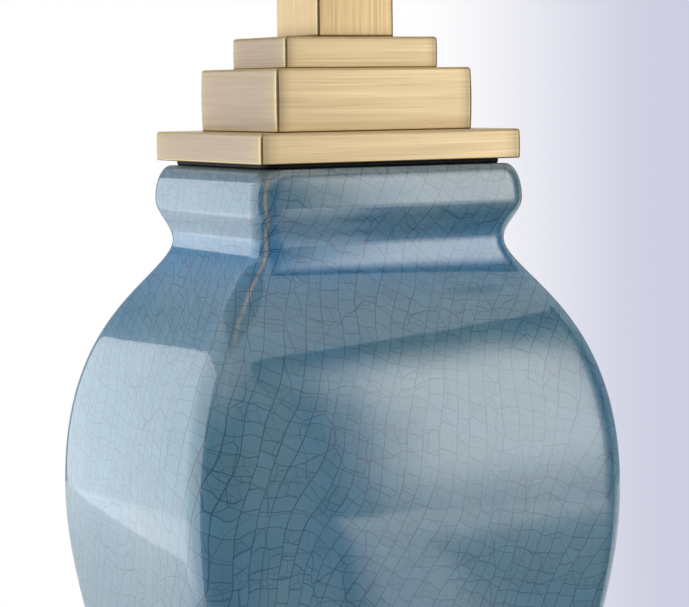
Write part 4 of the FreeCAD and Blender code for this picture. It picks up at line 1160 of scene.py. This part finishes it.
# %% Socket, its screw thread and the finial
z0, z1 = (corner[2] for corner in box_mm("socket_cap"))
pipe_radius, hub_radius, cap_inner, cap_radius = 5.1, 7.2, 15.5, 16.4
cap_profile = [(pipe_radius, z0), (hub_radius, z0), (hub_radius, z0 + 6), (cap_inner, z0 + 10),
               (cap_radius, z0 + 10.9), (cap_radius, z1), (cap_inner, z1), (cap_inner, z0 + 11),
               (hub_radius, z0 + 6.9), (pipe_radius, z0 + 6.9)]
make_bright("socket_cup", turned(cap_profile, 0.3), "socket_cap")
z0, z1 = (corner[2] for corner in box_mm("socket_shell"))
shell_radius, shell_inner, bead_radius, lip_radius = 15.3, 14.6, 0.9, 0.7
bead = [(shell_radius + bead_radius * math.cos(t), z0 + 4.4 + bead_radius * math.sin(t))
        for t in np.linspace(-math.pi / 2, math.pi / 2, 9)]
lip = [(shell_radius + lip_radius * math.cos(t), z1 - lip_radius + lip_radius * math.sin(t))
       for t in np.linspace(-math.pi / 2, math.pi, 14)]
shell_rows = [(shell_inner, z0), (shell_radius, z0)] + bead + lip + [(shell_inner, z1 - 1.5)]
shell = make_bright("socket_barrel", turned(shell_rows, 0.0), "socket_shell")
switch_hole = 2.6
cut(shell, [round_rod((0, -20, middle_z("switch_knob")), (0, 1, 0), switch_hole, 10)])


def make_thread():
    """The bulb's sleeve: a thin sheet rolled into a thread whose crest climbs one pitch a turn."""
    low, high = box_mm("screw_shell")
    pitch, depth, sheet, ledge = 3.63, 0.4, 0.3, 8.3
    turn = full_turn(72)[None]
    z = column(np.linspace(low[2], high[2], 90))
    ends = np.clip(np.minimum(z - low[2], high[2] - z) / 1.6, 0, 1)
    outer = high[0] - depth * ends * (1 - np.cos(2 * math.pi * z / pitch - turn))
    radius = np.concatenate([outer, outer[::-1] - sheet, np.full((2, 72), ledge)])
    heights = np.concatenate([z, np.maximum(z[::-1], low[2] + sheet), [[low[2] + sheet], [low[2]]]])
    points = raised(radius * np.cos(turn), radius * np.sin(turn), heights)
    return make_bright("bulb_thread", points, "screw_shell")


def make_finial():
    """A small echo of the cap: round seat, square plate, block and pyramid, with a blind hole below."""
    columns = outline_columns([-0.9, -0.5, 0, 0.5, 0.9], 5)
    levels = [(1, 0.4, 12.7), (1, 3.2, 12.7), (1, 3.2, 0.2), (1, 3.4, 0), (1, 7.8, 0), (1, 8, 0.2),
              (1, 8, 1.8), (1, 7.8, 2)]
    for half, start, end in ((8.5, 2, 5.4), (6.3, 5.4, 12.4)):
        levels += [(0, half - 0.3, start), (0, half, start + 0.3), (0, half, end - 0.4),
                   (0, half - 0.1, end - 0.1), (0, half - 0.4, end)]
    levels += [(0, 4.3, 12.4), (0, 4.1, 12.7), (0, 1.6, 18.6), (0, 1.3, 18.85), (0, 0.9, 18.9)]
    circle, half, z = np.array(levels, float).T
    x, y = rounded_outline(columns, half, half, np.minimum(0.7, half / 3))
    round_x, round_y = circle_outline(columns, half)
    x, y = np.where(column(circle) > 0, round_x, x), np.where(column(circle) > 0, round_y, y)
    points = raised(x, y, box_mm("finial")[0][2] + z)
    return make_piece("finial_knob", [(points, False)], "finial_nut", bright_brass, "finial")


make_thread()
make_finial()
print("hardware made")

# %% [markdown]
# ## Finish the solids that stay
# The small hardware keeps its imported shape. Each solid gets the finish it would have: bright
# brass for what is plated, zinc steel for what is hidden, and plastic, brown moulding or fibre
# for what insulates.

# %% Finishes on solids
finishes = ((bright_brass, "neck_washer neck_nut harp_saddle harp_stud centre_contact terminal_screws"),
            (steel, "cover_bosses bottom_cover cover_screws clamp_plate lock_washer base_nut cap_floor"
                    " lamp_pipe switch_shaft"),
            (black_plastic, "cord_inlet switch_knob"), (switch_brown, "switch_body"), (fibre, "socket_liner"))
for finish, solids in finishes:
    for solid in solids.split():
        for material_slot in nodes[solid].material_slots:
            material_slot.material = finish
print("solids finished")

# %% [markdown]
# ## Floor, background and light
# The lamp stands on a pale floor that fades into a white and lavender background. Two tall soft
# lights do the work: a wall along the lamp's left side, which runs down the jar's left face, and
# a panel to the front right. The rest of the room is a soft grey, darker round the camera, and
# that darkness is what draws the corners.

# %% Floor
toward_camera, toward_right = (-0.485, -0.875, 0.0), (0.8718, -0.4898, 0.0)


def make_floor():
    """A large flat disc whose material fades out with distance, and in front, in reflections."""
    turn, radii = full_turn(96), np.array([1.0, 400.0, 1500.0])
    rings = raised(np.outer(radii, np.cos(turn)), np.outer(radii, np.sin(turn)), np.zeros(3))
    floor = mesh_object("floor", rings, grid_faces(3, 96)[:, ::-1].tolist() + [list(range(96))])
    material, tree, surface, place = new_material("pale_floor")
    far = node(tree, "VectorMath", {0: place}, operation="LENGTH").outputs["Value"]
    haze = noise(tree, place, 0.02, 3.0)
    pale = blend(tree, haze, tone(236, 236, 242), tone(240, 240, 246))
    wire_up(tree, surface, Base_Color=pale, Roughness=0.8)
    fade = spread(tree, far, 300.0, 500.0, 0.0, 1.0, "SMOOTHSTEP")
    path = node(tree, "LightPath").outputs
    in_front = spread(tree, along(tree, place, toward_camera), 130.0, 240.0)
    front = times(tree, in_front, path["Is Glossy Ray"])
    unseen = calc(tree, "MAXIMUM", times(tree, fade, path["Is Camera Ray"]), front)
    see_through(tree, unseen, surface.outputs[0])
    floor.data.materials.append(material)


make_floor()
print("floor made")

# %% [markdown]
# The room is a set of smooth steps between soft colours, each facing one way: dark where the
# camera stands, bright above, and a white cloth behind. The camera itself sees only the plain
# white and lavender, so the background and the light can be set apart.

# %% World
def make_world():
    """White to lavender behind the lamp; for light and reflections, a soft room, dark in front."""
    world = bpy.data.worlds.new("room")
    bpy.context.scene.world = world
    world.use_nodes = True
    tree = world.node_tree
    background = tree.nodes["Background"]
    way = node(tree, "TexCoord").outputs["Generated"]

    def facing(direction, start, end):
        """How much a way out of the room faces a direction, as a smooth step."""
        return spread(tree, along(tree, way, direction), start, end, 0, 1, "SMOOTHSTEP")

    seen = blend(tree, facing(toward_right, 0.02, 0.15), (1, 1, 1, 1), tone(204, 206, 225))
    room = (0.24, 0.29, 0.35, 1)
    for direction, start, end, colour in ((toward_camera, 0.45, 0.72, (0.06, 0.07, 0.09, 1)),
                                          ((0.0, 0.0, 1.0), 0.3, 0.75, (1.0, 1.0, 1.0, 1)),
                                          ((0.423, 0.906, 0.0), 0.91, 0.965, (1.0, 1.0, 1.1, 1))):
        room = blend(tree, facing(direction, start, end), room, colour)
    path = node(tree, "LightPath").outputs["Is Camera Ray"]
    tree.links.new(blend(tree, path, room, seen), background.inputs[0])
    background.inputs[1].default_value = 1.0


make_world()
print("world made")

# %% [markdown]
# The lights are large, as in a real studio. The left one is a tall white wall of cloth, so it
# is a plain rectangle with crisp edges. The right one is a glowing panel whose brightness is
# painted across it, and two low cards carry the light of both along the floor.

# %% Lights
def wall_light(name, corner_a, corner_b, height, radiance):
    """An upright rectangular light between two points of the floor, facing the lamp."""
    a, b = Vector((*corner_a, 0)) * MM, Vector((*corner_b, 0)) * MM
    width = (b - a).length
    data = bpy.data.lights.new(name, "AREA")
    data.shape, data.size, data.size_y = "RECTANGLE", width, height * MM
    data.energy = math.pi * width * height * MM * radiance
    upright = Vector((0, 0, 1))
    middle = (a + b) / 2 + upright * (height * MM / 2)
    inward = upright.cross((b - a).normalized())
    if inward.dot(-middle) < 0:
        inward = -inward
    add_object(name, data).matrix_world = aim(inward.cross(upright), upright, -inward, middle)


def stepped(tree, value, stops):
    """A smooth curve through (place, level) stops."""
    level = stops[0][1]
    for (start, before), (end, after) in zip(stops, stops[1:]):
        rise = spread(tree, value, start, end, 0.0, 1.0, "SMOOTHSTEP")
        level = calc(tree, "MULTIPLY_ADD", rise, after - before, level)
    return level


def glowing_card(name, corners, sideways, upwards, radiance):
    """A card that glows on its front; sideways and upwards give its (share, level) stops."""
    card = mesh_object(name, corners, [[0, 1, 2, 3]])
    flat = card.data.uv_layers.new(name="card")
    flat.data.foreach_set("uv", [0.0, 0.0, 1.0, 0.0, 1.0, 1.0, 0.0, 1.0])
    material = bpy.data.materials.new(name)
    material.use_nodes = True
    tree = material.node_tree
    tree.nodes.remove(tree.nodes["Principled BSDF"])
    place = node(tree, "SeparateXYZ", {0: node(tree, "UVMap", uv_map="card").outputs[0]}).outputs
    glow = times(tree, stepped(tree, place[0], sideways), stepped(tree, place[1], upwards))
    glow = times(tree, glow, radiance)
    light = node(tree, "Emission", {"Color": (1.0, 0.99, 0.97, 1), "Strength": glow}).outputs[0]
    see_through(tree, node(tree, "NewGeometry").outputs["Backfacing"], light)
    card.data.materials.append(material)
    card.visible_camera = card.visible_shadow = False


def out_at(degrees, distance, height):
    """A point by its bearing and its distance from the lamp's axis."""
    turn = math.radians(degrees)
    return distance * math.cos(turn), distance * math.sin(turn), height


wall_light("left_wall_light", (-520, -76), (-520, 1900), 690, 1.45)
glowing_card("left_floor_card", [(-515, 1500, 2), (-515, -90, 2), (-130, -70, 2), (-130, 1500, 2)],
             ((0, 1), (1, 1)), ((0, 1), (1, 0.6)), 1.3)
panel_corners = [out_at(350, 1500, 5), out_at(291.5, 1500, 5), out_at(291.5, 1500, 1400),
                 out_at(350, 1500, 1400)]
glowing_card("right_front_panel", panel_corners,
             ((0, 0.0), (0.2, 0.02), (0.36, 0.1), (0.52, 0.3), (0.67, 1.0), (0.81, 1.0), (1.0, 0.0)),
             ((0, 0.45), (0.2, 1), (0.58, 1.0), (0.95, 0.0)), 3.7)
floor_corners = [out_at(350, 240, 2), out_at(288, 240, 2), out_at(292, 1500, 2), out_at(350, 1500, 2)]
glowing_card("right_floor_card", floor_corners,
             ((0, 0.0), (0.4, 0.3), (0.6, 1.0), (0.8, 1.0), (1.0, 0.0)), ((0, 0.3), (0.25, 0.7), (1, 1)), 1.9)
print("lights:", [light.name for light in bpy.data.lights])

# %% [markdown]
# ## Finish
# The look of the picture is left plain: standard view, no grading.

# %% Finish
bpy.context.scene.view_settings.view_transform = "Standard"
